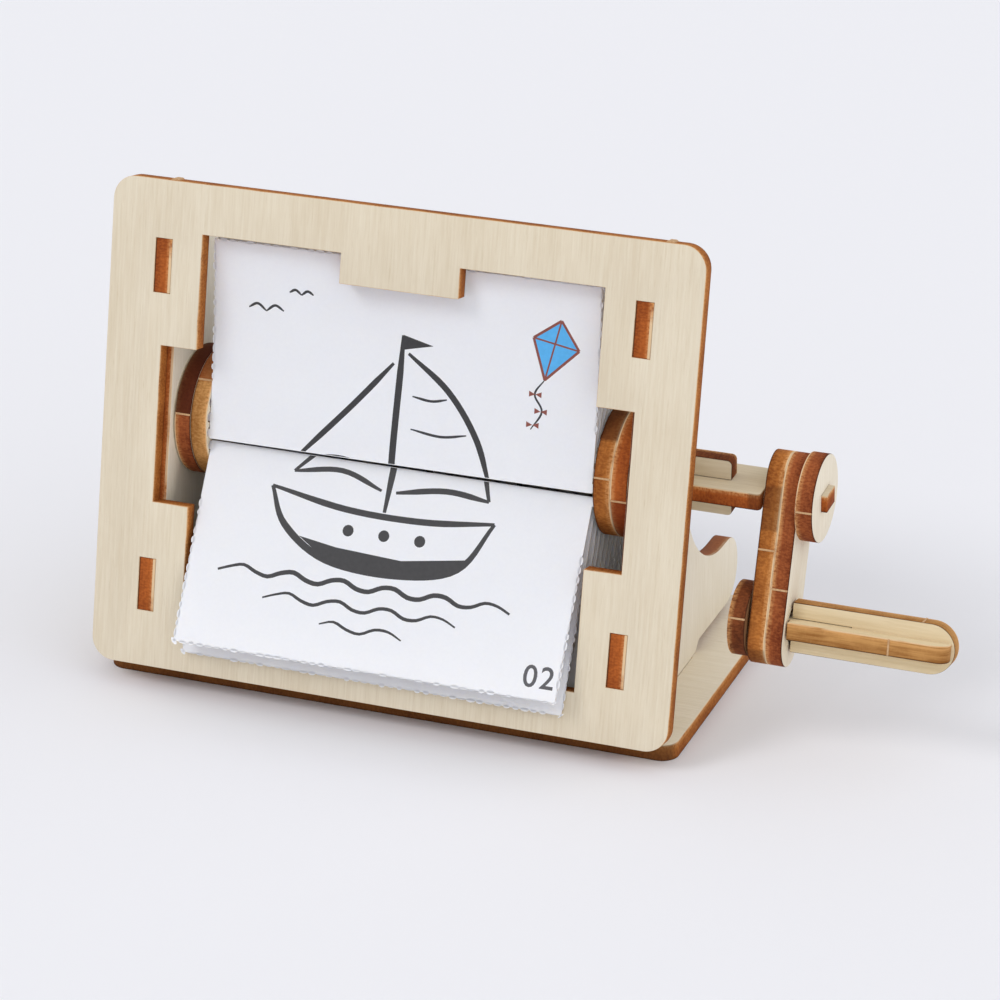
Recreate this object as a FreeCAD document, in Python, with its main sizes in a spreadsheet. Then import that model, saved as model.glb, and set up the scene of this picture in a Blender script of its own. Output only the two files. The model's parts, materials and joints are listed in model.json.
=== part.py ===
"""Hand-cranked flip-card viewer, cut from sheets of 3 mm plywood, with paper cards.

Millimetres.  +X points along the axle towards the crank, +Y to the rear and +Z up.
The origin is the centre of the base plate's underside.

A leaning front frame and two side plates stand on the base plate.  A drum of four
discs on a cross-lapped axle turns in the side plates.  Twenty-four paper cards hang
by small lugs in a ring of holes in the drum's inner discs.
"""
import FreeCAD, Part
import enum
import math
import os

import Sketcher

SIZES = {
    # sheets and fits
    "ply": 3.0,                 # thickness of every plywood piece
    "paper": 0.15,              # thickness of a card
    "fit": 0.05,                # clearance on each side of a tenon or tongue in its slot
    "running": 0.1,             # radial clearance round a turning square shaft
    "side_play": 0.3,           # clearance between faces that turn past each other
    # base plate
    "base_wing": 7.85,          # each side, past the side plates' outer faces
    "base_depth": 60.0,
    "base_corner": 3.0,
    # front frame, measured along its own leaning face
    "frame_wing": 8.25,         # each side, past the side plates' outer faces
    "frame_height": 84.4,
    "frame_corner": 4.0,
    "frame_lean": 12.0,         # degrees from upright, backwards
    "frame_reach": 2.4,         # how far its rear face stands ahead of the base plate
    "frame_rise": 0.6,          # its lower edge above the base plate's top face
    "window_gap": 1.15,         # between a card's side edge and the window's
    "rail_bottom": 8.0,
    "rail_top": 8.5,
    "notch_reach": 1.15,        # past the side plates' inner faces
    "notch_bottom": 29.0,
    "notch_height": 27.2,
    "tab_width": 21.2,
    "tab_drop": 5.15,
    # side plates
    "side_span": 82.5,          # between their inner faces
    "side_top": 80.0,           # height along the frame's rear face
    "side_corner": 8.0,
    "scoop_radius": 21.4,
    "scoop_y": 20.0,
    "tail_end": 28.6,
    "tail_height": 12.4,
    "tail_round": 6.0,
    "tail_clear": 1.7,          # gap between the tail and the base plate
    "foot_end": 5.3,
    "tenon": 9.2,               # length of every tenon
    "frame_tenon_low": 9.8,
    "frame_tenon_high": 65.2,
    "foot_tenon_front": 4.0,    # behind the base plate's front edge
    "foot_tenon_rear": 24.0,
    # axle, placed from the frame's rear face
    "axle_up": 43.3,
    "axle_behind": 12.2,
    "strip_width": 10.0,
    "strip_corner": 0.8,
    "axle_roll": 3.0,           # degrees, the drum and axle about the axle line
    "axle_stub": 3.25,          # how far the axle stands out of the left side plate
    "axle_legs": 11.55,         # how far the slotted strip stands out on the crank side
    "axle_shoulder": 17.55,     # how far the long strip's full width stands out there
    "tongue_width": 4.4,
    "tongue_proud": 1.0,
    # drum
    "disc_radius": 11.25,
    "pitch_radius": 9.9,
    "lug_hole": 0.9,            # radius
    "first_card": 0.5,          # degrees above the axle's front, the first hole
    # crank
    "arm_stand": 0.6,           # from the long strip's shoulder to the inner arm
    "arm_width": 10.0,
    "arm_throw": 21.5,          # from the axle to the handle's hole
    "arm_crown": 2.0,           # the upper round's centre, above the axle
    "arm_toe": 2.1,             # the lower round's centre, below the handle's hole
    "arm_swing": 18.5,          # degrees, the lower end forward of straight down
    "cap_radius": 7.4,
    # handle
    "grip_width": 8.5,
    "grip_length": 27.6,
    "grip_short": 0.6,          # how much shorter the strip with the neck is
    "grip_lap": 10.1,           # from the root to the middle of the lap
    "grip_round": 4.2,
    "grip_corner": 2.0,
    "neck_width": 4.6,
    "neck_proud": 1.0,
    "keeper_radius": 6.25,
    "handle_roll": -10.0,       # degrees about the handle's own axis
    # cards
    "card_reach": 34.3,         # from the lug's centre to the free edge
    "lug_half": 0.75,           # half the lug's height
    "card_ease": 3.0,           # degrees that a fanned card stands off the drum's tangent
    "next_lean": 1.5,           # degrees, the second card behind the first
    "lug_play": 0.2,            # how far the first card's lugs lie ahead in their holes
    "rest_gap": 0.1,            # between a resting card and what carries it
    "drag_gap": 0.3,            # free edge above the base, of a card too long to hang
    "held_gap": 0.3,            # free edge behind the frame, of the last card kept in
    "held_pitch": 1.0,          # and of each card behind it, further back
    "stack_gap": 0.3,           # first fallen card ahead of the frame's bottom rail
    "stack_pitch": 5.1,         # and each further one ahead of it
}

CARD_COUNT = 24
FIRST_HANGING = 12
FIRST_HELD = 20
FIRST_FALLEN = 22


class Spot(enum.IntEnum):
    """Sketcher's numbers for the origin's geometry and for a line's own points."""

    ORIGIN = -1
    START = 1
    END = 2
    CENTRE = 3


class Size:
    """A number from the sheet, or worked out from some, with its expression."""

    def __init__(self, number, text):
        self.number = number
        self.text = text

    def __add__(self, other):
        other = as_size(other)
        return Size(self.number + other.number, f"({self.text} + {other.text})")

    def __sub__(self, other):
        other = as_size(other)
        return Size(self.number - other.number, f"({self.text} - {other.text})")

    def __mul__(self, other):
        other = as_size(other)
        return Size(self.number * other.number, f"({self.text} * {other.text})")

    def __truediv__(self, other):
        other = as_size(other)
        return Size(self.number / other.number, f"({self.text} / {other.text})")

    def __neg__(self):
        return Size(-self.number, f"(0 - {self.text})")

    def __radd__(self, other):
        return as_size(other) + self

    def __rsub__(self, other):
        return as_size(other) - self


def as_size(value):
    """Plain numbers may stand beside sizes in a sum."""
    return value if isinstance(value, Size) else Size(value, str(value))


def sine(angle):
    return Size(math.sin(math.radians(angle.number)), f"sin({angle.text})")


def cosine(angle):
    return Size(math.cos(math.radians(angle.number)), f"cos({angle.text})")


def diagonal(across, along):
    """The distance between opposite corners of a rectangle."""
    text = f"sqrt({across.text} ^ 2 + {along.text} ^ 2)"
    return Size(math.hypot(across.number, along.number), text)


def fill_sheet(doc):
    """Write the sizes as plain numbers with aliases, and return them by name."""
    sheet = doc.addObject("Spreadsheet::Sheet", "sheet")
    for row, (name, number) in enumerate(SIZES.items(), start=1):
        sheet.set(f"A{row}", name)
        sheet.set(f"B{row}", str(number))
        sheet.setAlias(f"B{row}", name)
    doc.recompute()
    return {name: Size(float(getattr(sheet, name)), f"sheet.{name}") for name in SIZES}


doc = FreeCAD.newDocument("flip_card_viewer")
size = fill_sheet(doc)
ply = size["ply"]
fit = size["fit"]
half_ply = ply / 2
half_slot = half_ply + fit


# ---------------------------------------------------------------- places in common

def on_frame(up, behind):
    """A point up the leaning frame and behind its rear face, as a (y, z) pair."""
    lean = size["frame_lean"]
    along = size["frame_rise"] + up
    behind = as_size(behind)
    front = -size["base_depth"] / 2 - size["frame_reach"]
    y = front + along * sine(lean) + behind * cosine(lean)
    z = ply + along * cosine(lean) - behind * sine(lean)
    return y, z


axle_y, axle_z = on_frame(size["axle_up"], size["axle_behind"])

# stations along X, from the middle of the machine outwards
side_inner = size["side_span"] / 2
side_outer = side_inner + ply
drum_end = side_inner - size["side_play"]
drum_joint = drum_end - ply
drum_inner = drum_joint - ply
card_half = drum_inner - size["side_play"]
lug_end = drum_joint - size["side_play"]
axle_left = -(side_outer + size["axle_stub"])
shoulder = side_outer + size["axle_shoulder"]
arm_inner = shoulder + size["arm_stand"]
arm_joint = arm_inner + ply
arm_outer = arm_joint + ply
cap_outer = arm_outer + ply
keeper_outer = arm_inner - size["side_play"]
keeper_inner = keeper_outer - ply
grip_root = arm_outer + size["side_play"]


# ---------------------------------------------------------------- sketch helpers

def new_body(name):
    body = doc.addObject("PartDesign::Body", name)
    body.Label = name
    return body


def new_sketch(body, role):
    """A sketch on one of the body's own origin planes."""
    sketch = body.newObject("Sketcher::SketchObject", body.Name + "_outline")
    plane = [f for f in body.Origin.OriginFeatures if f.Role == role][0]
    sketch.AttachmentSupport = (plane, [""])
    sketch.MapMode = "FlatFace"
    return sketch


def flat(point):
    return FreeCAD.Vector(point[0].number, point[1].number, 0)


def bind(sketch, kind, value, *places):
    """Add a dimension and tie it to the sheet."""
    index = sketch.addConstraint(Sketcher.Constraint(kind, *places, value.number))
    sketch.setExpression(f"Constraints[{index}]", value.text)


def hold_point(sketch, geometry, place, point):
    bind(sketch, "DistanceX", point[0], Spot.ORIGIN, Spot.START, geometry, place)
    bind(sketch, "DistanceY", point[1], Spot.ORIGIN, Spot.START, geometry, place)


def arc_between(first, last, radius):
    """The short arc from one point to the next, its centre on the left of the way."""
    chord = last - first
    rise = math.sqrt(radius.number ** 2 - (chord.Length / 2) ** 2)
    left = FreeCAD.Vector(-chord.y, chord.x, 0).normalize()
    centre = (first + last) / 2 + left * rise
    circle = Part.Circle(centre, FreeCAD.Vector(0, 0, 1), radius.number)
    return Part.ArcOfCircle(circle, circle.parameter(first), circle.parameter(last))


def add_outline(sketch, corners, arcs=None):
    """A closed line through the corners; arcs gives the radius of a round stretch.

    arcs maps a corner's place in the list to the radius of the arc that leaves it.
    Such an arc turns to the left.
    """
    arcs = arcs or {}
    points = [flat(corner) for corner in corners]
    numbers = []
    for place, first in enumerate(points):
        last = points[(place + 1) % len(points)]
        if place in arcs:
            shape = arc_between(first, last, arcs[place])
        else:
            shape = Part.LineSegment(first, last)
        numbers.append(sketch.addGeometry(shape, False))
    for place, number in enumerate(numbers):
        following = numbers[(place + 1) % len(numbers)]
        sketch.addConstraint(Sketcher.Constraint("Coincident", number, Spot.END, following, Spot.START))
        hold_point(sketch, number, Spot.START, corners[place])
        if place in arcs:
            bind(sketch, "Radius", arcs[place], number)


def add_circle(sketch, centre, radius):
    circle = Part.Circle(flat(centre), FreeCAD.Vector(0, 0, 1), radius.number)
    number = sketch.addGeometry(circle, False)
    hold_point(sketch, number, Spot.CENTRE, centre)
    bind(sketch, "Radius", radius, number)


def box_corners(left, right, low, high):
    return [(left, low), (right, low), (right, high), (left, high)]


def turned(corners, angle):
    """The corners turned about the sketch's origin."""
    sin, cos = sine(angle), cosine(angle)
    return [(x * cos - y * sin, x * sin + y * cos) for x, y in corners]


def cross_corners(half_long, half_thick):
    """The twelve corners of a plus sign about the sketch's origin."""
    quarter = [(half_long, half_thick), (half_thick, half_thick), (half_thick, half_long)]
    corners = []
    for x, y in quarter:
        corners.append((x, y))
    for x, y in reversed(quarter):
        corners.append((-x, y))
    for x, y in quarter:
        corners.append((-x, -y))
    for x, y in reversed(quarter):
        corners.append((x, -y))
    return corners


def pad(body, sketch, length, middle=False):
    """Raise the sketch by a length, to one side or evenly to both."""
    feature = body.newObject("PartDesign::Pad", body.Name + "_pad")
    feature.Profile = sketch
    feature.setExpression("Length", length.text)
    feature.SideType = "Symmetric" if middle else "One side"
    sketch.Visibility = False
    doc.recompute()
    return feature


def edges_on(base, sketch, corners):
    """Names of the edges that stand upright on the given sketch corners."""
    names = []
    normal = sketch.Placement.Rotation.multVec(FreeCAD.Vector(0, 0, 1))
    for corner in corners:
        foot = sketch.Placement.multVec(flat(corner))
        for number, edge in enumerate(base.Shape.Edges, start=1):
            ends = [vertex.Point - foot for vertex in edge.Vertexes]
            if len(ends) == 2 and all(end.cross(normal).Length < 1e-4 for end in ends):
                names.append(f"Edge{number}")
    return names


def round_corners(body, base, sketch, corners, radius):
    """Round the edges that stand on the given sketch corners."""
    feature = body.newObject("PartDesign::Fillet", base.Name + "_round")
    feature.Base = (base, edges_on(base, sketch, corners))
    feature.setExpression("Radius", radius.text)
    doc.recompute()
    return feature


def place(body, x=0.0, y=0.0, z=0.0, roll=0.0):
    """Move a finished body to its place, turned about the X axis by degrees."""
    spot = [v.number if isinstance(v, Size) else v for v in (x, y, z)]
    angle = roll.number if isinstance(roll, Size) else roll
    turn = FreeCAD.Rotation(FreeCAD.Vector(1, 0, 0), angle)
    body.Placement = FreeCAD.Placement(FreeCAD.Vector(*spot), turn)
    return body


# ---------------------------------------------------------------- the housing

def front_frame():
    """The leaning frame, with its window, side notches, top tab and tenon slots."""
    body = new_body("front_frame")
    sketch = new_sketch(body, "XY_Plane")
    half = side_outer + size["frame_wing"]
    height = size["frame_height"]
    zero = Size(0.0, "0")
    outer = box_corners(-half, half, zero, height)
    add_outline(sketch, outer)

    window = card_half + size["window_gap"]
    notch = side_inner + size["notch_reach"]
    tab = size["tab_width"] / 2
    low, top = size["rail_bottom"], height - size["rail_top"]
    notch_low = size["notch_bottom"]
    notch_top = notch_low + size["notch_height"]
    tab_low = top - size["tab_drop"]
    right = [(window, low), (window, notch_low), (notch, notch_low), (notch, notch_top),
             (window, notch_top), (window, top), (tab, top), (tab, tab_low)]
    left = [(-x, z) for x, z in reversed(right)]
    add_outline(sketch, right + left)

    for side in (-1, 1):
        inner, outer_face = side_inner - fit, side_outer + fit
        ends = (-outer_face, -inner) if side < 0 else (inner, outer_face)
        for start in (size["frame_tenon_low"], size["frame_tenon_high"]):
            slot = box_corners(ends[0], ends[1], start - fit, start + size["tenon"] + fit)
            add_outline(sketch, slot)

    base = pad(body, sketch, ply)
    round_corners(body, base, sketch, outer, size["frame_corner"])
    y, z = on_frame(0, 0)
    return place(body, 0, y, z, 90 - SIZES["frame_lean"])


def base_plate():
    """The flat base, with two tenon slots under each side plate."""
    body = new_body("base_plate")
    sketch = new_sketch(body, "XY_Plane")
    half = side_outer + size["base_wing"]
    front = -size["base_depth"] / 2
    outer = box_corners(-half, half, front, -front)
    add_outline(sketch, outer)
    for side in (-1, 1):
        inner, outer_face = side_inner - fit, side_outer + fit
        ends = (-outer_face, -inner) if side < 0 else (inner, outer_face)
        for start in (size["foot_tenon_front"], size["foot_tenon_rear"]):
            slot_front = front + start - fit
            slot_rear = front + start + size["tenon"] + fit
            add_outline(sketch, box_corners(ends[0], ends[1], slot_front, slot_rear))
    base = pad(body, sketch, ply)
    round_corners(body, base, sketch, outer, size["base_corner"])
    return place(body)


def side_plate(name, inner_face):
    """A side plate: tenons into frame and base, bearing hole, rear scoop and tail."""
    body = new_body(name)
    sketch = new_sketch(body, "YZ_Plane")
    zero = Size(0.0, "0")
    front_edge = [(on_frame(-size["frame_rise"], zero))]
    for start in (size["frame_tenon_low"], size["frame_tenon_high"]):
        end = start + size["tenon"]
        front_edge += [on_frame(start, zero), on_frame(start, -ply),
                       on_frame(end, -ply), on_frame(end, zero)]

    rear_y = size["scoop_y"] - size["scoop_radius"]
    tail_low = ply + size["tail_clear"]
    tail_top = tail_low + size["tail_height"]
    scoop_z = tail_top + size["scoop_radius"]
    lean = size["frame_lean"]
    top_y, top_z = on_frame(size["side_top"], zero)
    top_rear = (rear_y, top_z - (rear_y - top_y) * sine(lean) / cosine(lean))
    rear_edge = [(top_y, top_z), top_rear, (rear_y, scoop_z), (size["scoop_y"], tail_top),
                 (size["tail_end"], tail_top), (size["tail_end"], tail_low),
                 (size["foot_end"] + size["tail_clear"], tail_low), (size["foot_end"], ply)]

    foot = []
    front = -size["base_depth"] / 2
    for start in (size["foot_tenon_rear"], size["foot_tenon_front"]):
        near, far = front + start, front + start + size["tenon"]
        foot += [(far, ply), (far, zero), (near, zero), (near, ply)]

    scoop_start = len(front_edge) + 2
    add_outline(sketch, front_edge + rear_edge + foot, {scoop_start: size["scoop_radius"]})
    corner = diagonal(size["strip_width"] / 2, half_ply)
    add_circle(sketch, (axle_y, axle_z), corner + size["running"])

    base = pad(body, sketch, ply)
    rounded = round_corners(body, base, sketch, [top_rear], size["side_corner"])
    tail = [(size["tail_end"], tail_top), (size["tail_end"], tail_low)]
    round_corners(body, rounded, sketch, tail, size["tail_round"])
    return place(body, inner_face)


# ---------------------------------------------------------------- axle and drum

def axle_strip_long():
    """The level axle strip, slotted from the left, with the crank's tongue."""
    body = new_body("axle_strip_long")
    sketch = new_sketch(body, "XY_Plane")
    half = size["strip_width"] / 2
    tongue = size["tongue_width"] / 2
    tip = cap_outer + size["tongue_proud"]
    upper = [(shoulder, half), (axle_left, half), (axle_left, half_slot), (fit, half_slot)]
    lower = [(x, -y) for x, y in reversed(upper)]
    corners = [(shoulder, -tongue), (tip, -tongue), (tip, tongue), (shoulder, tongue)]
    add_outline(sketch, corners + upper + lower)
    base = pad(body, sketch, ply, middle=True)
    outer = [upper[0], upper[1], lower[-2], lower[-1]]
    round_corners(body, base, sketch, outer, size["strip_corner"])
    return place(body, 0, axle_y, axle_z, size["axle_roll"])


def axle_strip_short():
    """The upright axle strip, slotted from the crank's side."""
    body = new_body("axle_strip_short")
    sketch = new_sketch(body, "XY_Plane")
    half = size["strip_width"] / 2
    legs = side_outer + size["axle_legs"]
    upper = [(-fit, half_slot), (legs, half_slot), (legs, half), (axle_left, half)]
    lower = [(x, -y) for x, y in reversed(upper)]
    add_outline(sketch, upper + lower)
    base = pad(body, sketch, ply, middle=True)
    outer = [upper[2], upper[3], lower[0], lower[1]]
    round_corners(body, base, sketch, outer, size["strip_corner"])
    return place(body, 0, axle_y, axle_z, SIZES["axle_roll"] + 90)


def drum_disc(name, left_face, with_holes):
    """A drum disc with the axle's cross slot, and the ring of lug holes if inner."""
    body = new_body(name)
    sketch = new_sketch(body, "YZ_Plane")
    zero = Size(0.0, "0")
    add_circle(sketch, (zero, zero), size["disc_radius"])
    add_outline(sketch, cross_corners(size["strip_width"] / 2 + fit, half_slot))
    if with_holes:
        for index in range(CARD_COUNT):
            angle = 180 - hole_angle(index) - size["axle_roll"]
            centre = (size["pitch_radius"] * cosine(angle), size["pitch_radius"] * sine(angle))
            add_circle(sketch, centre, size["lug_hole"])
    pad(body, sketch, ply)
    return place(body, left_face, axle_y, axle_z, size["axle_roll"])


def hole_angle(index):
    """Degrees from the axle's front, upwards, to a card's lug hole."""
    return size["first_card"] + 360 / CARD_COUNT * index


# ---------------------------------------------------------------- crank and handle

def crank_arm(name, left_face):
    """A round-ended arm with the tongue's slot above and the neck's hole below."""
    body = new_body(name)
    sketch = new_sketch(body, "YZ_Plane")
    zero = Size(0.0, "0")
    half = size["arm_width"] / 2
    throw = size["arm_throw"]
    add_stadium(sketch, size["arm_crown"], -(throw + size["arm_toe"]), half)
    tongue = size["tongue_width"] / 2 + fit
    slot = box_corners(-tongue, tongue, -half_slot, half_slot)
    add_outline(sketch, turned(slot, size["axle_roll"] + size["arm_swing"]))
    corner = diagonal(size["neck_width"] / 2, half_ply)
    add_circle(sketch, (zero, -throw), corner + size["running"])
    pad(body, sketch, ply)
    return place(body, left_face, axle_y, axle_z, -size["arm_swing"])


def add_stadium(sketch, top, bottom, half):
    """Two half circles on the sketch's upright axis, joined by straight sides."""
    up = FreeCAD.Vector(0, 0, 1)
    zero = Size(0.0, "0")
    upper = Part.Circle(flat((zero, top)), up, half.number)
    lower = Part.Circle(flat((zero, bottom)), up, half.number)
    arcs = [Part.ArcOfCircle(upper, 0, math.pi), Part.ArcOfCircle(lower, math.pi, 2 * math.pi)]
    left = Part.LineSegment(flat((-half, top)), flat((-half, bottom)))
    right = Part.LineSegment(flat((half, bottom)), flat((half, top)))
    first = sketch.addGeometry(arcs[0], False)
    down = sketch.addGeometry(left, False)
    second = sketch.addGeometry(arcs[1], False)
    back = sketch.addGeometry(right, False)
    ring = [first, down, second, back]
    for number, following in zip(ring, ring[1:] + ring[:1]):
        sketch.addConstraint(Sketcher.Constraint("Tangent", number, Spot.END, following, Spot.START))
    hold_point(sketch, first, Spot.CENTRE, (zero, top))
    hold_point(sketch, second, Spot.CENTRE, (zero, bottom))
    bind(sketch, "Radius", half, first)


def slotted_disc(name, radius, slot_width):
    """A plywood disc with one oblong slot through its middle."""
    body = new_body(name)
    sketch = new_sketch(body, "YZ_Plane")
    zero = Size(0.0, "0")
    add_circle(sketch, (zero, zero), radius)
    half = slot_width / 2 + fit
    add_outline(sketch, box_corners(-half, half, -half_slot, half_slot))
    pad(body, sketch, ply)
    return body


def crank_cap():
    return place(slotted_disc("crank_cap", size["cap_radius"], size["tongue_width"]),
                 arm_outer, axle_y, axle_z, size["axle_roll"])


def handle_spot():
    """The handle's axis, at the crank arms' lower end."""
    swing = size["arm_swing"]
    return axle_y - size["arm_throw"] * sine(swing), axle_z - size["arm_throw"] * cosine(swing)


def handle_strip_neck():
    """The handle's level strip: its neck turns in the arms, its slot opens at the tip."""
    body = new_body("handle_strip_neck")
    sketch = new_sketch(body, "XY_Plane")
    half = size["grip_width"] / 2
    neck = size["neck_width"] / 2
    end = keeper_inner - size["neck_proud"]
    tip = grip_root + size["grip_length"] - size["grip_short"]
    lap = grip_root + size["grip_lap"] - fit
    upper = [(lap, half_slot), (tip, half_slot), (tip, half), (grip_root, half),
             (grip_root, neck), (end, neck)]
    lower = [(x, -y) for x, y in reversed(upper)]
    add_outline(sketch, upper + lower)
    base = pad(body, sketch, ply, middle=True)
    round_corners(body, base, sketch, [upper[2], lower[3]], size["grip_corner"])
    y, z = handle_spot()
    return place(body, 0, y, z, size["handle_roll"])


def handle_strip_slotted():
    """The handle's upright strip, slotted from its root and fully round at its tip."""
    body = new_body("handle_strip_slotted")
    sketch = new_sketch(body, "XY_Plane")
    half = size["grip_width"] / 2
    tip = grip_root + size["grip_length"]
    lap = grip_root + size["grip_lap"] + fit
    upper = [(tip, half), (grip_root, half), (grip_root, half_slot), (lap, half_slot)]
    lower = [(x, -y) for x, y in reversed(upper)]
    add_outline(sketch, upper + lower)
    base = pad(body, sketch, ply, middle=True)
    round_corners(body, base, sketch, [upper[0], lower[3]], size["grip_round"])
    y, z = handle_spot()
    return place(body, 0, y, z, SIZES["handle_roll"] + 90)


def handle_keeper():
    """The disc behind the arms that keeps the handle's neck in its hole."""
    y, z = handle_spot()
    return place(slotted_disc("handle_keeper", size["keeper_radius"], size["neck_width"]),
                 keeper_inner, y, z, size["handle_roll"])


# ---------------------------------------------------------------- cards

def card_hinge(index):
    """The centre of a card's lugs, as plain (y, z) numbers."""
    angle = math.radians(hole_angle(index).number)
    y = axle_y.number - SIZES["pitch_radius"] * math.cos(angle)
    z = axle_z.number + SIZES["pitch_radius"] * math.sin(angle)
    if index == 0:
        y -= SIZES["lug_play"]
    if index == 1:
        y += SIZES["lug_play"] / 2
    return y, z


def swing_to_frame(index, gap):
    """Degrees between a card and the frame, when its free edge stands behind the frame."""
    y, z = card_hinge(index)
    foot_y, foot_z = [value.number for value in on_frame(0, 0)]
    lean = math.radians(SIZES["frame_lean"])
    behind = (y - foot_y) * math.cos(lean) - (z - foot_z) * math.sin(lean)
    clear = behind - SIZES["paper"] / 2 - gap
    return math.degrees(math.asin(clear / SIZES["card_reach"]))


def first_lean():
    """The first card's lean when its free edge rests behind the frame's top tab."""
    return SIZES["frame_lean"] - swing_to_frame(0, SIZES["rest_gap"])


def card_lean(index):
    """Degrees from upright, backwards, of a card in its place round the drum."""
    if index == 0:
        return first_lean()
    if index == 1:
        return first_lean() + SIZES["next_lean"]
    if index < FIRST_HANGING:
        return hole_angle(index).number - SIZES["card_ease"]
    if index < FIRST_HELD:
        return hanging_lean(index)
    if index < FIRST_FALLEN:
        return held_lean(index)
    return fallen_lean(index)


def hanging_lean(index):
    """Straight down, or forward of it where the base plate is in the card's way."""
    room = card_hinge(index)[1] - SIZES["ply"] - SIZES["drag_gap"]
    return 180 + math.degrees(math.acos(min(1, room / SIZES["card_reach"])))


def held_lean(index):
    """The lean of a card whose free edge the frame's bottom rail keeps in."""
    gap = SIZES["held_gap"] + SIZES["held_pitch"] * (FIRST_FALLEN - 1 - index)
    return 180 + SIZES["frame_lean"] + swing_to_frame(index, gap)


def fallen_lean(index):
    """The lean of a card that has fallen forward over the frame's bottom rail."""
    rail_y, rail_z = [value.number for value in on_frame(size["rail_bottom"], -ply)]
    ahead = SIZES["stack_gap"] + SIZES["stack_pitch"] * (index - FIRST_FALLEN)
    y, z = card_hinge(index)
    return math.degrees(math.atan2(rail_y - ahead - y, rail_z - z))


def flip_card(index):
    """A paper half-sheet with a lug at each end of its hinged edge."""
    body = new_body(f"card_{index:02d}")
    sketch = new_sketch(body, "XY_Plane")
    lug = size["lug_half"]
    right = [(lug_end, -lug), (lug_end, lug), (card_half, lug), (card_half, size["card_reach"])]
    left = [(-x, y) for x, y in reversed(right)]
    add_outline(sketch, right + left)
    pad(body, sketch, size["paper"], middle=True)
    y, z = card_hinge(index)
    return place(body, 0, y, z, 90 - card_lean(index))


# ---------------------------------------------------------------- the whole machine

def build():
    pieces = [
        base_plate(),
        front_frame(),
        side_plate("side_plate_right", side_inner),
        side_plate("side_plate_left", -side_outer),
        axle_strip_long(),
        axle_strip_short(),
        drum_disc("drum_disc_right_inner", drum_inner, True),
        drum_disc("drum_disc_right_outer", drum_joint, False),
        drum_disc("drum_disc_left_inner", -drum_joint, True),
        drum_disc("drum_disc_left_outer", -drum_end, False),
        crank_arm("crank_arm_inner", arm_inner),
        crank_arm("crank_arm_outer", arm_joint),
        crank_cap(),
        handle_strip_neck(),
        handle_strip_slotted(),
        handle_keeper(),
    ]
    pieces += [flip_card(index) for index in range(CARD_COUNT)]
    return pieces


def check(pieces):
    """Stop before anything is written if an object failed or a shape is bad."""
    doc.recompute()
    for item in doc.Objects:
        if "Invalid" in item.State or "Error" in item.State:
            raise RuntimeError(f"{item.Name} failed: {item.State}")
    for piece in pieces:
        if piece.Shape.isNull() or not piece.Shape.isValid():
            raise RuntimeError(f"{piece.Label} has a bad shape")
        if len(piece.Shape.Solids) != 1:
            raise RuntimeError(f"{piece.Label} is not one solid")


pieces = build()
check(pieces)
os.makedirs("parts", exist_ok=True)
for piece in pieces:
    piece.Shape.exportStep(f"parts/{piece.Label}.step")
print(len(pieces), "pieces written")
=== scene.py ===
"""Dresses the flip-card viewer: laser-cut basswood plywood, paper cards, a plain studio.

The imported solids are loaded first, and each piece takes its place from the solid that it
stands for.  A plywood piece has its solid's shape, with eased edges, the burn of the laser
on its cut sides and the stubs of the bridges that held it in its sheet.  A card is paper
with torn edges.  Its front carries the upper half of a picture and its back the lower half
of the next one.
"""

import enum
import json
import logging
import math
from dataclasses import dataclass, field

import bmesh
import bpy
from mathutils import Matrix, Vector
from mathutils.geometry import delaunay_2d_cdt


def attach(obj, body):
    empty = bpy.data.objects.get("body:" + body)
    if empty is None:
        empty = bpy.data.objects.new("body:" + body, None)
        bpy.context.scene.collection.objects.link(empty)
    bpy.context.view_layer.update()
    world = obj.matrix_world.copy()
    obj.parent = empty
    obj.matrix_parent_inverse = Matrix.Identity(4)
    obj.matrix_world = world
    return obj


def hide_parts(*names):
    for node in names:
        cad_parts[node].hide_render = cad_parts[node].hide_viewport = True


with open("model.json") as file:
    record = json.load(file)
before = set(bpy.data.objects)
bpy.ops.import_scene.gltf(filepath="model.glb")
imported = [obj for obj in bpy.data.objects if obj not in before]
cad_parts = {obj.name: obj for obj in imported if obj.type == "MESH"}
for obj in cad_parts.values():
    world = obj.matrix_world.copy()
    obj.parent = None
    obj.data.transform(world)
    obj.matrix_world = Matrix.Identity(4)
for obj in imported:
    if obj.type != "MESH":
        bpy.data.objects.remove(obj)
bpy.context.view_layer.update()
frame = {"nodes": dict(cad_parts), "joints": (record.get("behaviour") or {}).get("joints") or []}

MM = 0.001              # metres in a millimetre
CARD_COUNT = 24
SEED = 7                # every random draw starts from this number

WELD = 0.001            # mm between corners that are one
FLAT = 0.5              # degrees between faces that are one
SHARP = 40.0            # degrees between faces whose edge is eased
SMOOTH = 30.0           # degrees between faces that still shade as one
SMALLEST_PATCH = 1e-5   # square mm, below which a patch of ink is dropped
FREE_EDGE = 0.99        # of a card's reach, beyond which a corner is on its free edge

ALONG = Vector((1, 0, 0))       # the crank's axis
UPRIGHT = Vector((0, 0, 1))

log = logging.getLogger("flip_card_viewer")

Point = tuple[float, float]
Colour = tuple[float, float, float, float]
Patch = list[Vector]


# ---------------------------------------------------------------- helpers


def linear(hex_colour: str) -> Colour:
    """Turns an sRGB hex colour into the linear colour that a shader takes.

    Args:
        hex_colour: six hex digits after a #.

    Returns:
        Red, green, blue and an alpha of 1.
    """
    parts = [int(hex_colour[at:at + 2], 16) / 255 for at in (1, 3, 5)]
    red, green, blue = (
        part / 12.92 if part <= 0.04045 else ((part + 0.055) / 1.055) ** 2.4 for part in parts
    )
    return red, green, blue, 1.0


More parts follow.
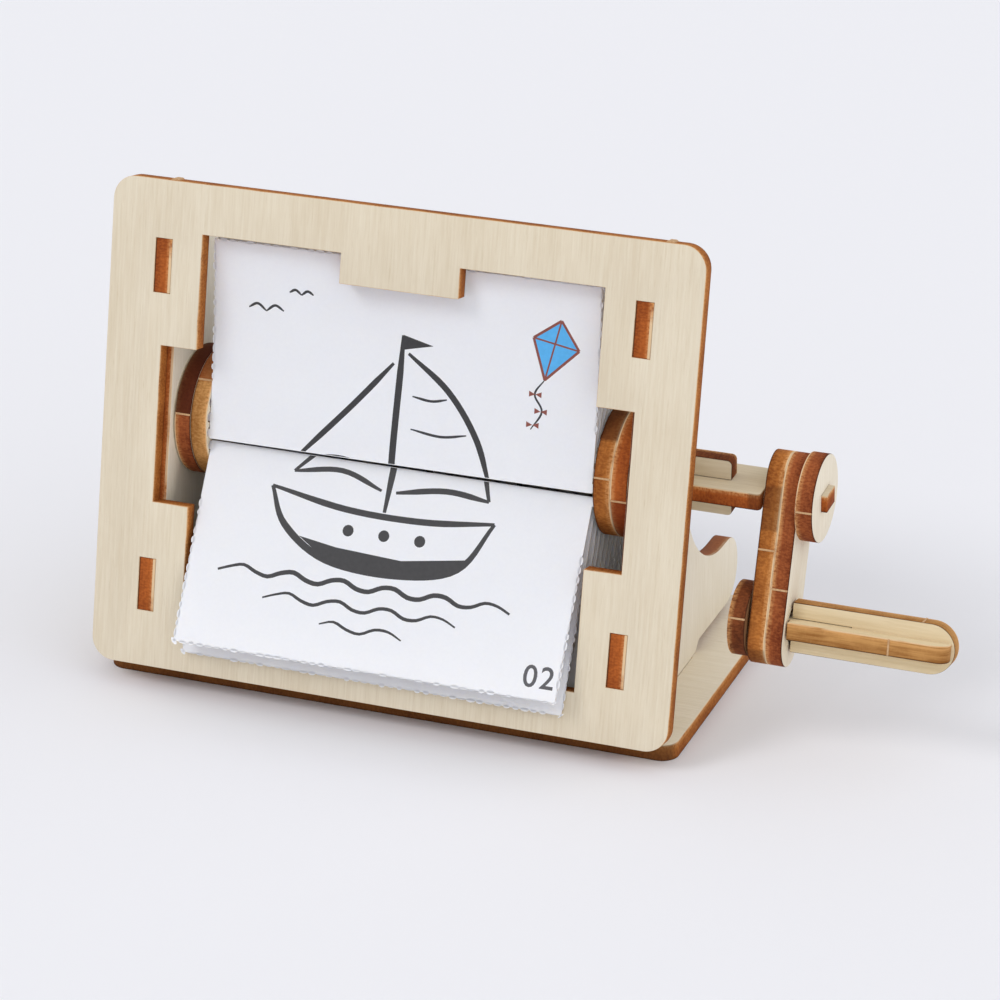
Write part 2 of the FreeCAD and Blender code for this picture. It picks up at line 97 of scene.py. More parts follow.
def add_node(tree: bpy.types.NodeTree, kind: str, feeds: dict | None = None,
             **settings: object) -> bpy.types.Node:
    """Adds a node to a tree, sets it up and wires it in.

    Args:
        tree: the tree that gets the node.
        kind: the node's type, as Blender names it.
        feeds: for an input's name or number, the value it holds or the socket that feeds it.
        settings: the node's own properties.

    Returns:
        The new node.
    """
    node = tree.nodes.new(kind)
    for name, value in settings.items():
        setattr(node, name, value)
    for key, value in (feeds or {}).items():
        if isinstance(value, bpy.types.NodeSocket):
            tree.links.new(value, node.inputs[key])
        else:
            node.inputs[key].default_value = value
    return node


def empty_material(name: str) -> tuple[bpy.types.Material, bpy.types.NodeTree]:
    """Makes a material with an empty tree.

    Args:
        name: the material's name.

    Returns:
        The material and its tree.
    """
    made = bpy.data.materials.new(name)
    made.use_nodes = True
    made.node_tree.nodes.clear()
    return made, made.node_tree


def close_tree(tree: bpy.types.NodeTree, looks: dict) -> None:
    """Ends a material's tree with the shader that takes the given values and sockets."""
    shader = add_node(tree, "ShaderNodeBsdfPrincipled", looks)
    add_node(tree, "ShaderNodeOutputMaterial", {"Surface": shader.outputs[0]})


def heading(side: float, up: float) -> Vector:
    """The direction out from the object at two angles.

    Args:
        side: degrees to the object's right of its front.
        up: degrees above the table.

    Returns:
        A unit vector.
    """
    side, up = math.radians(side), math.radians(up)
    return Vector((math.sin(side) * math.cos(up), -math.cos(side) * math.cos(up),
                   math.sin(up)))


def new_piece(name: str, shell: bmesh.types.BMesh,
              materials: list[bpy.types.Material]) -> bpy.types.Object:
    """Makes a scene object of a finished shell, and frees the shell.

    Args:
        name: the piece's name.
        shell: its mesh, in place, in metres.
        materials: its material slots, in order.

    Returns:
        The object, at the origin.
    """
    mesh = bpy.data.meshes.new(name)
    shell.to_mesh(mesh)
    shell.free()
    for material in materials:
        mesh.materials.append(material)
    piece = bpy.data.objects.new(name, mesh)
    bpy.context.scene.collection.objects.link(piece)
    return piece


def report(piece: bpy.types.Object, body: str) -> None:
    """Logs a finished piece with the body it rides on and its count of faces."""
    log.info("%s rides on %s, %d faces", piece.name, body, len(piece.data.polygons))


@dataclass(frozen=True)
class PatchyFinish:
    """A dull surface whose colour wanders between two tones."""

    name: str
    tones: tuple[Colour, Colour]
    patch: float            # mm, a patch's size
    roughness: float

    def material(self) -> bpy.types.Material:
        """Builds the finish.

        Returns:
            The material.
        """
        made, tree = empty_material(self.name)
        place = add_node(tree, "ShaderNodeTexCoord").outputs["Object"]
        patches = add_node(tree, "ShaderNodeTexNoise", {
            "Vector": place, "Scale": 1 / (self.patch * MM), "Detail": 2.0})
        colour = add_node(tree, "ShaderNodeMix", {
            0: patches.outputs[0], 6: self.tones[0], 7: self.tones[1]}, data_type="RGBA")
        close_tree(tree, {"Base Color": colour.outputs[2], "Roughness": self.roughness})
        return made


# The pale fibres of a basswood bridge that was snapped, not burnt: dull and stringy.
TORN_WOOD = PatchyFinish("basswood_torn", (linear("#DFBE92"), linear("#A97748")), 0.3, 0.8)

# A card's cut edge, which the laser turned tan: matt and a little patchy.
SINGED_PAPER = PatchyFinish("singed_paper", (linear("#B59C7C"), linear("#D8C9B2")), 1.5, 0.8)


# ---------------------------------------------------------------- plywood


class Char(enum.Enum):
    """How far the laser burnt a cut side: its paler and its deeper brown."""

    HONEY = ("#D09C5E", "#84501F")
    AMBER = ("#C67E3C", "#74370F")
    EMBER = ("#BE672D", "#743212")
    RUSSET = ("#AE6236", "#5C200C")
    UMBER = ("#8E4E2A", "#3F1A0B")


class Veneer(enum.Enum):
    """The tone of a sheet's face veneer: its paler and its darker cream."""

    CREAM = ("#E8DDC7", "#D7C8AE")
    WHITE = ("#F3EAD8", "#E4D8C0")
    # Partly the strips' own tan and partly painted shade: darker so that the axle strips' faces
    # look shaded.
    STRAW_AND_SHADE = ("#E0D3BA", "#CCBB9E")
    FLAX = ("#E8D6B4", "#D6C097")
    # Dark brown all over, far darker than the other veneers; only the handle's keeper has it.
    DEEP_BROWN = ("#8A6442", "#5A3B25")


@dataclass(frozen=True)
class BurnAndShade:
    """A stretch of a cut side with a colour of its own laid over it: burns where the laser went
    slower or a jet kept it cleaner, painted shade on the base's front edge, and darker ends on
    the long strip.
    """

    way: Vector             # unit vector that the stretch is measured along
    start: float            # mm from the origin, along it
    stop: float             # mm
    strength: float = 0.7   # 0 to 1, the share of the stretch's own colour
    colour: str = "#44200F"
    soft: float = 0.5       # mm over which it fades out


@dataclass(frozen=True)
class BasswoodPly:
    """Three-ply basswood, 3 mm thick, sanded, left raw and cut out with a laser.

    The faces are pale cream with fine, faint streaks along the grain and no gloss.  The
    laser leaves the cut sides brown, speckled and duller, with a dark line where the side
    meets one face and an unburnt thread of veneer at the other.
    """

    name: str
    across: Vector                  # unit vector square to the sheet
    middle: float                   # metres from the origin to the sheet's middle, along it
    grain: Vector                   # unit vector along the face veneer's grain
    char: Char
    veneer: Veneer
    layered: float = 0.25           # 0 to 1, how much the plies show as lines on a cut side
    burns_and_shade: tuple[BurnAndShade, ...] = ()
    thread: float = 0.22            # mm of unburnt veneer at the pale side's edge
    thickness: float = 3.0          # mm
    streak_pitch: float = 0.34      # mm between streaks of the grain
    streak_length: float = 9.0      # mm
    mottle_size: float = 9.0        # mm
    fibre_length: float = 3.0       # mm, of the fine dark fibres between the streaks
    cloud_share: float = 0.45       # 0 to 1, of the mottle against the streaks
    fibre_share: float = 0.22       # 0 to 1, how dark the fibres are
    fibre_tone: str = "#BFA985"
    speckle_size: float = 0.35      # mm, of the soot on a cut side
    ply_line: float = 0.30          # mm, of the lines that the plies leave on it
    scorch_size: float = 6.0        # mm, of the darker places along a cut
    scorch_share: float = 0.40      # 0 to 1, of those against the speckle
    inward_share: float = 0.38      # 0 to 1, how much it darkens towards the dark side
    glow: float = 1.0               # mm that the pale side's tan reaches into the cut
    glow_tone: str = "#D9A268"
    soot_line: Point = (0.30, 0.06)     # mm from the dark side's edge, where its line starts
    soot_tone: str = "#40200F"
    thread_tone: str = "#E0C29A"
    thread_fade: float = 0.10       # mm
    square_on: Point = (0.80, 0.97)     # cosines to the sheet where a face starts and is full
    relief: float = 0.06            # mm, the height of the grain and the soot
    gloss: float = 0.12             # of the bare wood, which has next to none
    cut_roughness: float = 0.78
    face_roughness: float = 0.62

    def material(self) -> bpy.types.Material:
        """Builds the finish for one sheet, which knows its own plane and grain.

        Returns:
            The material.
        """
        made, tree = empty_material(self.name)
        place = add_node(tree, "ShaderNodeTexCoord")
        sheet = self.sheet_place(tree, place.outputs["Object"])
        face, bare = self.face_colour(tree, sheet)
        cut, rough = self.cut_colour(tree, sheet)
        cut = self.burnt(tree, place.outputs["Object"], cut)
        flat = add_node(tree, "ShaderNodeVectorMath", {
            0: place.outputs["Normal"], 1: self.across}, operation="DOT_PRODUCT")
        size = add_node(tree, "ShaderNodeMath", {0: flat.outputs["Value"]},
                        operation="ABSOLUTE")
        on_face = add_node(tree, "ShaderNodeMapRange", {
            "Value": size.outputs[0], "From Min": self.square_on[0],
            "From Max": self.square_on[1]}).outputs[0]
        colour = add_node(tree, "ShaderNodeMix", {0: on_face, 6: cut, 7: face},
                          data_type="RGBA")
        relief = add_node(tree, "ShaderNodeMix", {0: on_face, 2: rough, 3: bare})
        bump = add_node(tree, "ShaderNodeBump", {
            "Strength": 0.6, "Distance": self.relief * MM, "Height": relief.outputs[0]})
        dull = add_node(tree, "ShaderNodeMapRange", {
            "Value": on_face, "To Min": self.cut_roughness, "To Max": self.face_roughness})
        close_tree(tree, {
            "Base Color": colour.outputs[2], "Roughness": dull.outputs[0],
            "Normal": bump.outputs[0], "Specular IOR Level": self.gloss})
        return made

    def sheet_place(self, tree: bpy.types.NodeTree,
                    place: bpy.types.NodeSocket) -> bpy.types.NodeSocket:
        """Turns a place on the object into one in the sheet, in millimetres.

        Args:
            tree: the material's tree.
            place: the place on the object, in metres.

        Returns:
            A vector: across the grain, along it, and out from the sheet's middle.
        """
        side = self.across.cross(self.grain)
        found = []
        for axis, start in ((side, 0.0), (self.grain, 0.0), (self.across, self.middle)):
            along = add_node(tree, "ShaderNodeVectorMath", {0: place, 1: axis},
                             operation="DOT_PRODUCT")
            scaled = add_node(tree, "ShaderNodeMath", {
                0: along.outputs["Value"], 1: 1 / MM, 2: -start / MM},
                operation="MULTIPLY_ADD")
            found.append(scaled.outputs[0])
        joined = add_node(tree, "ShaderNodeCombineXYZ", dict(enumerate(found)))
        return joined.outputs[0]

    def noise(self, tree: bpy.types.NodeTree, sheet: bpy.types.NodeSocket,
              sizes: tuple[float, float, float], detail: float = 2.0) -> bpy.types.NodeSocket:
        """Adds a noise whose blotches have a real size.

        Args:
            tree: the material's tree.
            sheet: the place in the sheet, in millimetres.
            sizes: a blotch's size across the grain, along it and through the sheet, in mm.
            detail: how many finer noises lie on it.

        Returns:
            The noise, from 0 to 1.
        """
        scaled = add_node(tree, "ShaderNodeVectorMath", {
            0: sheet, 1: [1 / size for size in sizes]}, operation="MULTIPLY")
        made = add_node(tree, "ShaderNodeTexNoise", {
            "Vector": scaled.outputs[0], "Scale": 1.0, "Detail": detail, "Roughness": 0.55})
        return made.outputs[0]

    def face_colour(self, tree: bpy.types.NodeTree, sheet: bpy.types.NodeSocket
                    ) -> tuple[bpy.types.NodeSocket, bpy.types.NodeSocket]:
        """Colours the sanded face: streaks along the grain over a soft mottle.

        Args:
            tree: the material's tree.
            sheet: the place in the sheet.

        Returns:
            The face's colour, and the height of its grain.
        """
        # A blotch's sizes in mm, its detail, and the noise where it starts and is full.
        patterns = (
            ((self.streak_pitch, self.streak_length, 3.0), 3.0, 0.30, 0.72),
            ((self.mottle_size, 3 * self.mottle_size, 9.0), 2.0, 0.28, 0.75),
            ((0.5 * self.streak_pitch, self.fibre_length, 1.0), 1.0, 0.62, 0.80))
        streaks, clouds, fibres = (
            add_node(tree, "ShaderNodeMapRange", {
                "Value": self.noise(tree, sheet, sizes, detail),
                "From Min": low, "From Max": high}).outputs[0]
            for sizes, detail, low, high in patterns)
        both = add_node(tree, "ShaderNodeMix", {0: self.cloud_share, 2: streaks, 3: clouds})
        pale, tan = (linear(colour) for colour in self.veneer.value)
        base = add_node(tree, "ShaderNodeMix", {0: both.outputs[0], 6: pale, 7: tan},
                        data_type="RGBA")
        weak = add_node(tree, "ShaderNodeMath", {0: fibres, 1: self.fibre_share},
                        operation="MULTIPLY")
        colour = add_node(tree, "ShaderNodeMix", {
            0: weak.outputs[0], 6: base.outputs[2], 7: linear(self.fibre_tone)},
            data_type="RGBA")
        return colour.outputs[2], streaks

    def cut_colour(self, tree: bpy.types.NodeTree, sheet: bpy.types.NodeSocket
                   ) -> tuple[bpy.types.NodeSocket, bpy.types.NodeSocket]:
        """Colours a side that the laser cut: speckled brown, with its two thin borders.

        Args:
            tree: the material's tree.
            sheet: the place in the sheet.

        Returns:
            The cut side's colour, and the height of its grain.
        """
        size, half = self.scorch_size, 0.5 * self.thickness
        speck = self.noise(tree, sheet, (self.speckle_size,) * 2 + (1.6 * self.speckle_size,))
        lines = self.noise(tree, sheet, (size, size, self.ply_line), 3.0)
        scorch = self.noise(tree, sheet, (size, size, 4.0))
        grit = add_node(tree, "ShaderNodeMix", {
            0: self.layered, 2: speck, 3: lines}).outputs[0]
        depth = add_node(tree, "ShaderNodeSeparateXYZ", {0: sheet}).outputs[2]
        edge, fade = half - self.thread, 0.5 * self.thread_fade
        # Each value, where its effect starts and where it is full.
        ramps = (
            (grit, 0.38, 0.60), (scorch, 0.40, 0.64), (depth, half, -half),
            (depth, half - self.glow, half), (grit, 0.66, 0.40),
            (depth, *(-half + inset for inset in self.soot_line)),
            (depth, edge - fade, edge + fade), (scorch, 0.66, 0.46))
        gritty, scorched, inward, near_pale, even, near_dark, in_thread, unburnt = (
            add_node(tree, "ShaderNodeMapRange", {
                "Value": value, "From Min": low, "From Max": high}).outputs[0]
            for value, low, high in ramps)
        mixed = add_node(tree, "ShaderNodeMix", {
            0: self.scorch_share, 2: gritty, 3: scorched})
        deeper = add_node(tree, "ShaderNodeMix", {
            0: self.inward_share, 2: mixed.outputs[0], 3: inward})
        singed = add_node(tree, "ShaderNodeMath", {0: near_pale, 1: even},
                          operation="MULTIPLY")
        patchy = add_node(tree, "ShaderNodeMath", {0: in_thread, 1: unburnt},
                          operation="MULTIPLY")
        colour, deep = (linear(colour) for colour in self.char.value)
        for share, tone in ((deeper.outputs[0], deep),
                            (singed.outputs[0], linear(self.glow_tone)),
                            (near_dark, linear(self.soot_tone)),
                            (patchy.outputs[0], linear(self.thread_tone))):
            colour = add_node(tree, "ShaderNodeMix", {0: share, 6: colour, 7: tone},
                              data_type="RGBA").outputs[2]
        return colour, grit

    def burnt(self, tree: bpy.types.NodeTree, place: bpy.types.NodeSocket,
              cut: bpy.types.NodeSocket) -> bpy.types.NodeSocket:
        """Lays the sheet's burnt stretches, and its painted shade, over the colour of its cut
        sides.

        Args:
            tree: the material's tree.
            place: the place on the object, in metres.
            cut: the cut side's colour.

        Returns:
            The colour with the stretches on it.
        """
        for burn in self.burns_and_shade:
            along = add_node(tree, "ShaderNodeVectorMath", {0: place, 1: burn.way / MM},
                             operation="DOT_PRODUCT").outputs["Value"]
            share = burn.strength
            for end, outward in ((burn.start, -burn.soft), (burn.stop, burn.soft)):
                inside = add_node(tree, "ShaderNodeMapRange", {
                    "Value": along, "From Min": end + outward, "From Max": end})
                share = add_node(tree, "ShaderNodeMath", {0: inside.outputs[0], 1: share},
                                 operation="MULTIPLY").outputs[0]
            cut = add_node(tree, "ShaderNodeMix", {
                0: share, 6: cut, 7: linear(burn.colour)}, data_type="RGBA").outputs[2]
        return cut


@dataclass
class PlySheet:
    """One plywood piece: the shape of its solid, with its edges eased."""

    node: str
    body: str
    grain: Vector                       # roughly along the face veneer's grain
    char: Char = Char.AMBER
    veneer: Veneer = Veneer.CREAM
    slot: str = "basswood_ply"
    layered: float = 0.25
    edge_ease: float = 0.12             # mm, the width of an eased edge
    pale_side: int = 1                  # the side of its plane with the unburnt thread
    thread: float = 0.22                # mm, that thread's width
    burns_and_shade: tuple[BurnAndShade, ...] = ()
    finish: BasswoodPly = field(init=False)

    def __post_init__(self) -> None:
        """Measures the solid and works out the sheet's finish."""
        across = self.across() * self.pale_side
        spots = [vertex.co.dot(across) for vertex in frame["nodes"][self.node].data.vertices]
        grain = (self.grain - across * self.grain.dot(across)).normalized()
        self.finish = BasswoodPly(
            f"basswood_{self.node}", across, 0.5 * (min(spots) + max(spots)), grain,
            self.char, self.veneer, self.layered, self.burns_and_shade, self.thread)

    def across(self) -> Vector:
        """Finds the direction square to the sheet, which most of its surface faces.

        Returns:
            A unit vector whose longest part is positive.
        """
        shares: dict[tuple[float, ...], float] = {}
        for face in frame["nodes"][self.node].data.polygons:
            way = face.normal if max(face.normal, key=abs) > 0 else -face.normal
            key = tuple(round(part, 3) for part in way)
            shares[key] = shares.get(key, 0.0) + face.area
        return Vector(max(shares, key=shares.get)).normalized()

    def shell(self) -> bmesh.types.BMesh:
        """Copies the solid, joins its triangles and eases its sharp edges.

        Returns:
            The sheet's mesh, in place, in metres.
        """
        made = bmesh.new()
        made.from_mesh(frame["nodes"][self.node].data)
        bmesh.ops.remove_doubles(made, verts=made.verts, dist=WELD * MM)
        bmesh.ops.dissolve_limit(made, angle_limit=math.radians(FLAT), verts=made.verts,
                                 edges=made.edges)
        sharp = [edge for edge in made.edges
                 if edge.is_manifold and edge.calc_face_angle() > math.radians(SHARP)]
        bmesh.ops.bevel(made, geom=sharp, offset=self.edge_ease * MM, segments=2,
                        profile=0.5, affect="EDGES", clamp_overlap=True)
        return made

    def build(self) -> None:
        """Makes the piece, which stands for its solid and rides where the solid does."""
        piece = new_piece(f"{self.node}_ply", self.shell(), [self.finish.material()])
        piece.data.shade_smooth()
        piece.data.set_sharp_from_angle(angle=math.radians(SMOOTH))
        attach(piece, self.body)
        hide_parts(self.node)
        report(piece, self.body)


@dataclass(frozen=True)
class Stub:
    """Where a bridge that held a piece in its sheet was broken off."""

    place: Vector           # on the cut side, in metres
    outward: Vector         # unit vector away from the piece
    across: Vector          # unit vector through the sheet
    width: float = 0.36     # mm along the cut
    height: float = 2.8     # mm through the sheet
    proud: float = 0.12     # mm
    root: float = 0.3       # mm inside the wood
    taper: tuple[Point, ...] = ((0.5, 0.9), (1.0, 0.6))     # share of proud, of width there
    height_taper: float = 0.1       # the height's loss, against the width's

    def add_to(self, shell: bmesh.types.BMesh) -> None:
        """Adds the stub, a low block whose torn top is narrower than its root.

        Args:
            shell: the mesh that gets it.
        """
        along = self.outward.cross(self.across)
        rings = []
        steps = [(share * self.proud, left) for share, left in self.taper]
        for reach, left in [(-self.root, 1.0)] + steps:
            width = 0.5 * self.width * left * MM
            height = 0.5 * self.height * (1 - self.height_taper * (1 - left)) * MM
            rings.append([
                shell.verts.new(self.place + self.outward * reach * MM
                                + along * side * width + self.across * end * height)
                for side, end in ((-1, -1), (1, -1), (1, 1), (-1, 1))])
        shell.faces.new(reversed(rings[0]))
        shell.faces.new(rings[-1])
        for low, high in zip(rings, rings[1:]):
            for at in range(4):
                after = (at + 1) % 4
                shell.faces.new((low[at], low[after], high[after], high[at]))


def add_stubs(name: str, body: str, stubs: list[Stub], finish: bpy.types.Material) -> None:
    """Makes one piece of a body's bridge stubs.

    Args:
        name: the piece's name.
        body: the body that it rides on.
        stubs: the stubs.
        finish: their material.
    """
    shell = bmesh.new()
    for stub in stubs:
        stub.add_to(shell)
    bmesh.ops.recalc_face_normals(shell, faces=shell.faces)
    piece = new_piece(name, shell, [finish])
    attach(piece, body)
    report(piece, body)


def rim_stub(centre: Vector, radius: float, degrees: float) -> Stub:
    """A stub on the rim of a disc that stands square to the crank's axis.

    Args:
        centre: the disc's middle, in metres.
        radius: the disc's, in mm.
        degrees: the place on the rim, from the back, over the top.

    Returns:
        The stub.
    """
    turn = math.radians(degrees)
    outward = Vector((0, math.cos(turn), math.sin(turn)))
    return Stub(centre + outward * radius * MM, outward, ALONG)


# ---------------------------------------------------------------- sub-assemblies


@dataclass
class Housing:
    """The base, the two side plates and the front frame with its window."""

    lean: float = 12.0                  # degrees that the frame leans back
    frame_height: float = 84.4          # mm up the frame
    foot: Point = (-32.2753, 3.5869)    # mm, the back of the frame's lower edge: y, z
    thickness: float = 3.0
    stub_places: tuple[float, ...] = (-41.5, 46.0)      # mm along the frame's top edge
    stub_width: float = 1.5             # mm, wider than the other pieces' stubs
    stub_height: float = 2.2
    stub_proud: float = 0.3
    side_thread: float = 0.45           # mm, the unburnt thread along the side plates
    # Painted shade: the base's front edge, which sits under the frame's overhang, is darkened
    # with a dark olive brown.
    painted_shade_front: BurnAndShade = BurnAndShade(Vector((0, -1, 0)), 29.0, 60.0, 0.62, "#4A321D", 1.5)
    dull_rear: BurnAndShade = BurnAndShade(Vector((0, 0.978, -0.208)), -28.0, 90.0, 0.55, "#94664C")

    def up(self) -> Vector:
        """The direction up the frame."""
        turn = math.radians(self.lean)
        return Vector((0, math.sin(turn), math.cos(turn)))

    def build(self, torn: bpy.types.Material) -> None:
        """Makes the housing's four plates and the stubs on the frame's top edge.

        Args:
            torn: the stubs' material.
        """
        PlySheet("front_frame", "housing", self.up(), slot="basswood_ply_frame",
                 pale_side=-1).build()
        PlySheet("base_plate", "housing", ALONG, veneer=Veneer.WHITE,
                 burns_and_shade=(self.painted_shade_front,)).build()
        for side in ("right", "left"):
            PlySheet(f"side_plate_{side}", "housing", UPRIGHT, Char.EMBER, Veneer.WHITE,
                     thread=self.side_thread, burns_and_shade=(self.dull_rear,)).build()
        behind = Vector((0, self.up().z, -self.up().y))
        top = Vector((0, *self.foot)) * MM + self.up() * self.frame_height * MM
        middle = top - behind * 0.5 * self.thickness * MM
        stubs = [
            Stub(middle + Vector((along * MM, 0, 0)), self.up(), behind,
                 width=self.stub_width, height=self.stub_height, proud=self.stub_proud)
            for along in self.stub_places]
        add_stubs("housing_stubs", "housing", stubs, torn)


@dataclass
class DrumAndCrank:
    """The crossed axle strips, the four drum discs, the arm's two plates and its cap."""

    axle: Point = (-11.3393, 43.4042)       # mm: y, z
    disc_radius: float = 11.25
    cap_radius: float = 7.4
    arm_half_width: float = 5.0
    arm_swing: float = 18.5                 # degrees that the arm hangs ahead of straight down
    disc_stubs: dict[float, float] = field(default_factory=lambda: {
        -39.45: 164.2, -36.45: 131.0, 36.45: 166.4, 39.45: 184.8})
    disc_chars: dict[str, Char] = field(default_factory=lambda: {
        "left_outer": Char.RUSSET, "left_inner": Char.HONEY, "right_inner": Char.AMBER,
        "right_outer": Char.EMBER})
    disc_burns: dict[str, BurnAndShade] = field(default_factory=lambda: {
        "left_outer": BurnAndShade(UPRIGHT, 46.6, 60.0, 0.85, "#451B0C"),
        "left_inner": BurnAndShade(UPRIGHT, 52.0, 60.0, 0.60, "#8A3A1A"),
        "right_inner": BurnAndShade(UPRIGHT, 51.8, 60.0, 0.70, "#4E2412"),
        "right_outer": BurnAndShade(UPRIGHT, 20.0, 42.4, 0.60, "#70280F")})
    # Darker cut sides on the long strip, beside the right outer disc and next to the arm.
    strip_ends: tuple[BurnAndShade, ...] = (BurnAndShade(ALONG, 41.0, 46.0, 0.5), BurnAndShade(ALONG, 60.0, 63.0, 0.5))
    arm_bands: tuple[BurnAndShade, ...] = (
        BurnAndShade(UPRIGHT, 39.5, 46.0, 0.45), BurnAndShade(UPRIGHT, 12.0, 20.0, 0.45))
    cap_stub: Point = (69.9, 178.3)         # mm along the axle, and degrees round the rim
    cap_stub_gap: float = 150.0             # degrees to the cap's other stub
    arm_stubs: dict[float, float] = field(default_factory=lambda: {63.9: 9.3, 66.9: 15.5})

    def build(self, torn: bpy.types.Material) -> None:
        """Makes the nine plywood pieces and their stubs.

        Args:
            torn: the stubs' material.
        """
        body = "drum_and_crank"
        turn = math.radians(self.arm_swing)
        arm = Vector((0, -math.sin(turn), -math.cos(turn)))
        sheets = [
            PlySheet("axle_strip_long", body, ALONG, Char.EMBER, Veneer.STRAW_AND_SHADE,
                     burns_and_shade=self.strip_ends),
            PlySheet("axle_strip_short", body, ALONG, Char.UMBER, Veneer.STRAW_AND_SHADE),
            PlySheet("crank_arm_inner", body, arm, burns_and_shade=self.arm_bands),
            PlySheet("crank_arm_outer", body, arm, Char.RUSSET, Veneer.WHITE, pale_side=-1),
            PlySheet("crank_cap", body, UPRIGHT, Char.RUSSET, Veneer.WHITE, pale_side=-1),
        ]
        for disc, char in self.disc_chars.items():
            sheets.append(PlySheet(f"drum_disc_{disc}", body, UPRIGHT, char,
                                   pale_side=1 if "inner" in disc else -1,
                                   burns_and_shade=(self.disc_burns[disc],)))
        for sheet in sheets:
            sheet.build()
        add_stubs("drum_and_crank_stubs", body, self.stubs(arm), torn)

    def stubs(self, arm: Vector) -> list[Stub]:
        """Places the stubs on the discs' rims, the cap and the arm's front edges.

        Args:
            arm: the direction down the arm.

        Returns:
            The stubs.
        """
        rims = [(station, self.disc_radius, degrees, 180)
                for station, degrees in self.disc_stubs.items()]
        rims.append((self.cap_stub[0], self.cap_radius, self.cap_stub[1], self.cap_stub_gap))
        made = []
        for station, radius, degrees, gap in rims:
            centre = Vector((station, *self.axle)) * MM
            made += [rim_stub(centre, radius, degrees + extra) for extra in (0, gap)]
        forward = Vector((0, arm.z, -arm.y))
        for station, down in self.arm_stubs.items():
            start = Vector((station, *self.axle)) * MM + arm * down * MM
            for side in (1, -1):
                made.append(Stub(start + forward * side * self.arm_half_width * MM,
                                 forward * side, ALONG))
        return made


@dataclass
class Handle:
    """The handle's two crossed strips and the keeper inside the arm."""

    axis: Point = (-18.1613, 23.0152)   # mm: y, z
    keeper_radius: float = 6.25
    keeper_station: float = 60.6        # mm along the crank's axis
    keeper_stub: float = 157.5          # degrees round the rim
    strip_half_width: float = 4.25
    roll: float = -10.0                 # degrees that the strips are turned
    top_stub: float = 90.6              # mm along the crank's axis, on the upright strip
    front_stub: float = 85.9            # the same, on the level strip

    def build(self, torn: bpy.types.Material) -> None:
        """Makes the three plywood pieces and their stubs.

        Args:
            torn: the stubs' material.
        """
        for strip, layered in (("neck", 0.85), ("slotted", 0.6)):
            PlySheet(f"handle_strip_{strip}", "handle", ALONG, Char.HONEY, Veneer.FLAX,
                     layered=layered).build()
        PlySheet("handle_keeper", "handle", UPRIGHT, Char.UMBER, Veneer.DEEP_BROWN,
                 pale_side=-1, thread=0.0).build()
        turn = math.radians(self.roll)
        up = Vector((0, -math.sin(turn), math.cos(turn)))
        front = Vector((0, -math.cos(turn), -math.sin(turn)))
        centre = Vector((0, *self.axis)) * MM
        reach = self.strip_half_width * MM
        keeper = Vector((self.keeper_station, *self.axis)) * MM
        stubs = [
            rim_stub(keeper, self.keeper_radius, self.keeper_stub),
            Stub(centre + ALONG * self.top_stub * MM + up * reach, up, front),
            Stub(centre + ALONG * self.front_stub * MM + front * reach, front, up),
        ]
        add_stubs("handle_stubs", "handle", stubs, torn)


# ---------------------------------------------------------------- paper and ink


class Ink(enum.Enum):
    """The print's inks, by colour; the paper comes before them in a card's slots."""

    BLACK = "#2B2A2C"
    GREY = "#4C4B4F"
    BLUE = "#4BA3DC"
    MADDER = "#7E4034"


@dataclass(frozen=True)
class CardPaper:
    """Uncoated white printing paper, 0.15 mm thick: cool white, matt, faintly fibrous."""

    name: str = "uncoated_paper"
    white: str = "#F8F8FA"
    fibre: str = "#EEEEF2"
    fibre_size: float = 0.5     # mm, coarser than real fibres so that it shows
    cloud_size: float = 12.0    # mm
    relief: float = 0.02        # mm
    bleed: float = 0.5          # 0 to 1, the share of the light that soaks into the sheet
    bleed_length: float = 0.4   # mm that light soaks
    bleed_by_colour: tuple[float, float, float] = (1.0, 0.9, 0.75)      # of that length

    def material(self) -> bpy.types.Material:
        """Builds the paper's finish.

        Returns:
            The material.
        """
        made, tree = empty_material(self.name)
        place = add_node(tree, "ShaderNodeTexCoord").outputs["Object"]
        fibres = add_node(tree, "ShaderNodeTexNoise", {
            "Vector": place, "Scale": 1 / (self.fibre_size * MM), "Detail": 3.0})
        clouds = add_node(tree, "ShaderNodeTexNoise", {
            "Vector": place, "Scale": 1 / (self.cloud_size * MM), "Detail": 1.0})
        both = add_node(tree, "ShaderNodeMix", {
            0: 0.5, 2: fibres.outputs[0], 3: clouds.outputs[0]})
        colour = add_node(tree, "ShaderNodeMix", {
            0: both.outputs[0], 6: linear(self.white), 7: linear(self.fibre)},
            data_type="RGBA")
        bump = add_node(tree, "ShaderNodeBump", {
            "Strength": 0.3, "Distance": self.relief * MM, "Height": fibres.outputs[0]})
        close_tree(tree, {
            "Base Color": colour.outputs[2], "Normal": bump.outputs[0],
            "Roughness": 0.72, "Specular IOR Level": 0.3,
            "Subsurface Weight": self.bleed, "Subsurface Radius": self.bleed_by_colour,
            "Subsurface Scale": self.bleed_length * MM})
        return made


@dataclass(frozen=True)
class Toner:
    """Toner on uncoated paper: even, a little patchy, with a slight gloss."""

    ink: Ink
    thinner: float = 1.3        # times as bright, where the toner is thin
    paper_shows: float = 0.01   # of the paper's own white there
    patch: float = 0.8          # mm
    roughness: float = 0.5

    def material(self) -> bpy.types.Material:
        """Builds the ink's finish.

        Returns:
            The material.
        """
        *full, alpha = linear(self.ink.value)
        thin = (*(part * self.thinner + self.paper_shows for part in full), alpha)
        return PatchyFinish(f"toner_{self.ink.name.lower()}", ((*full, alpha), thin),
                            self.patch, self.roughness).material()


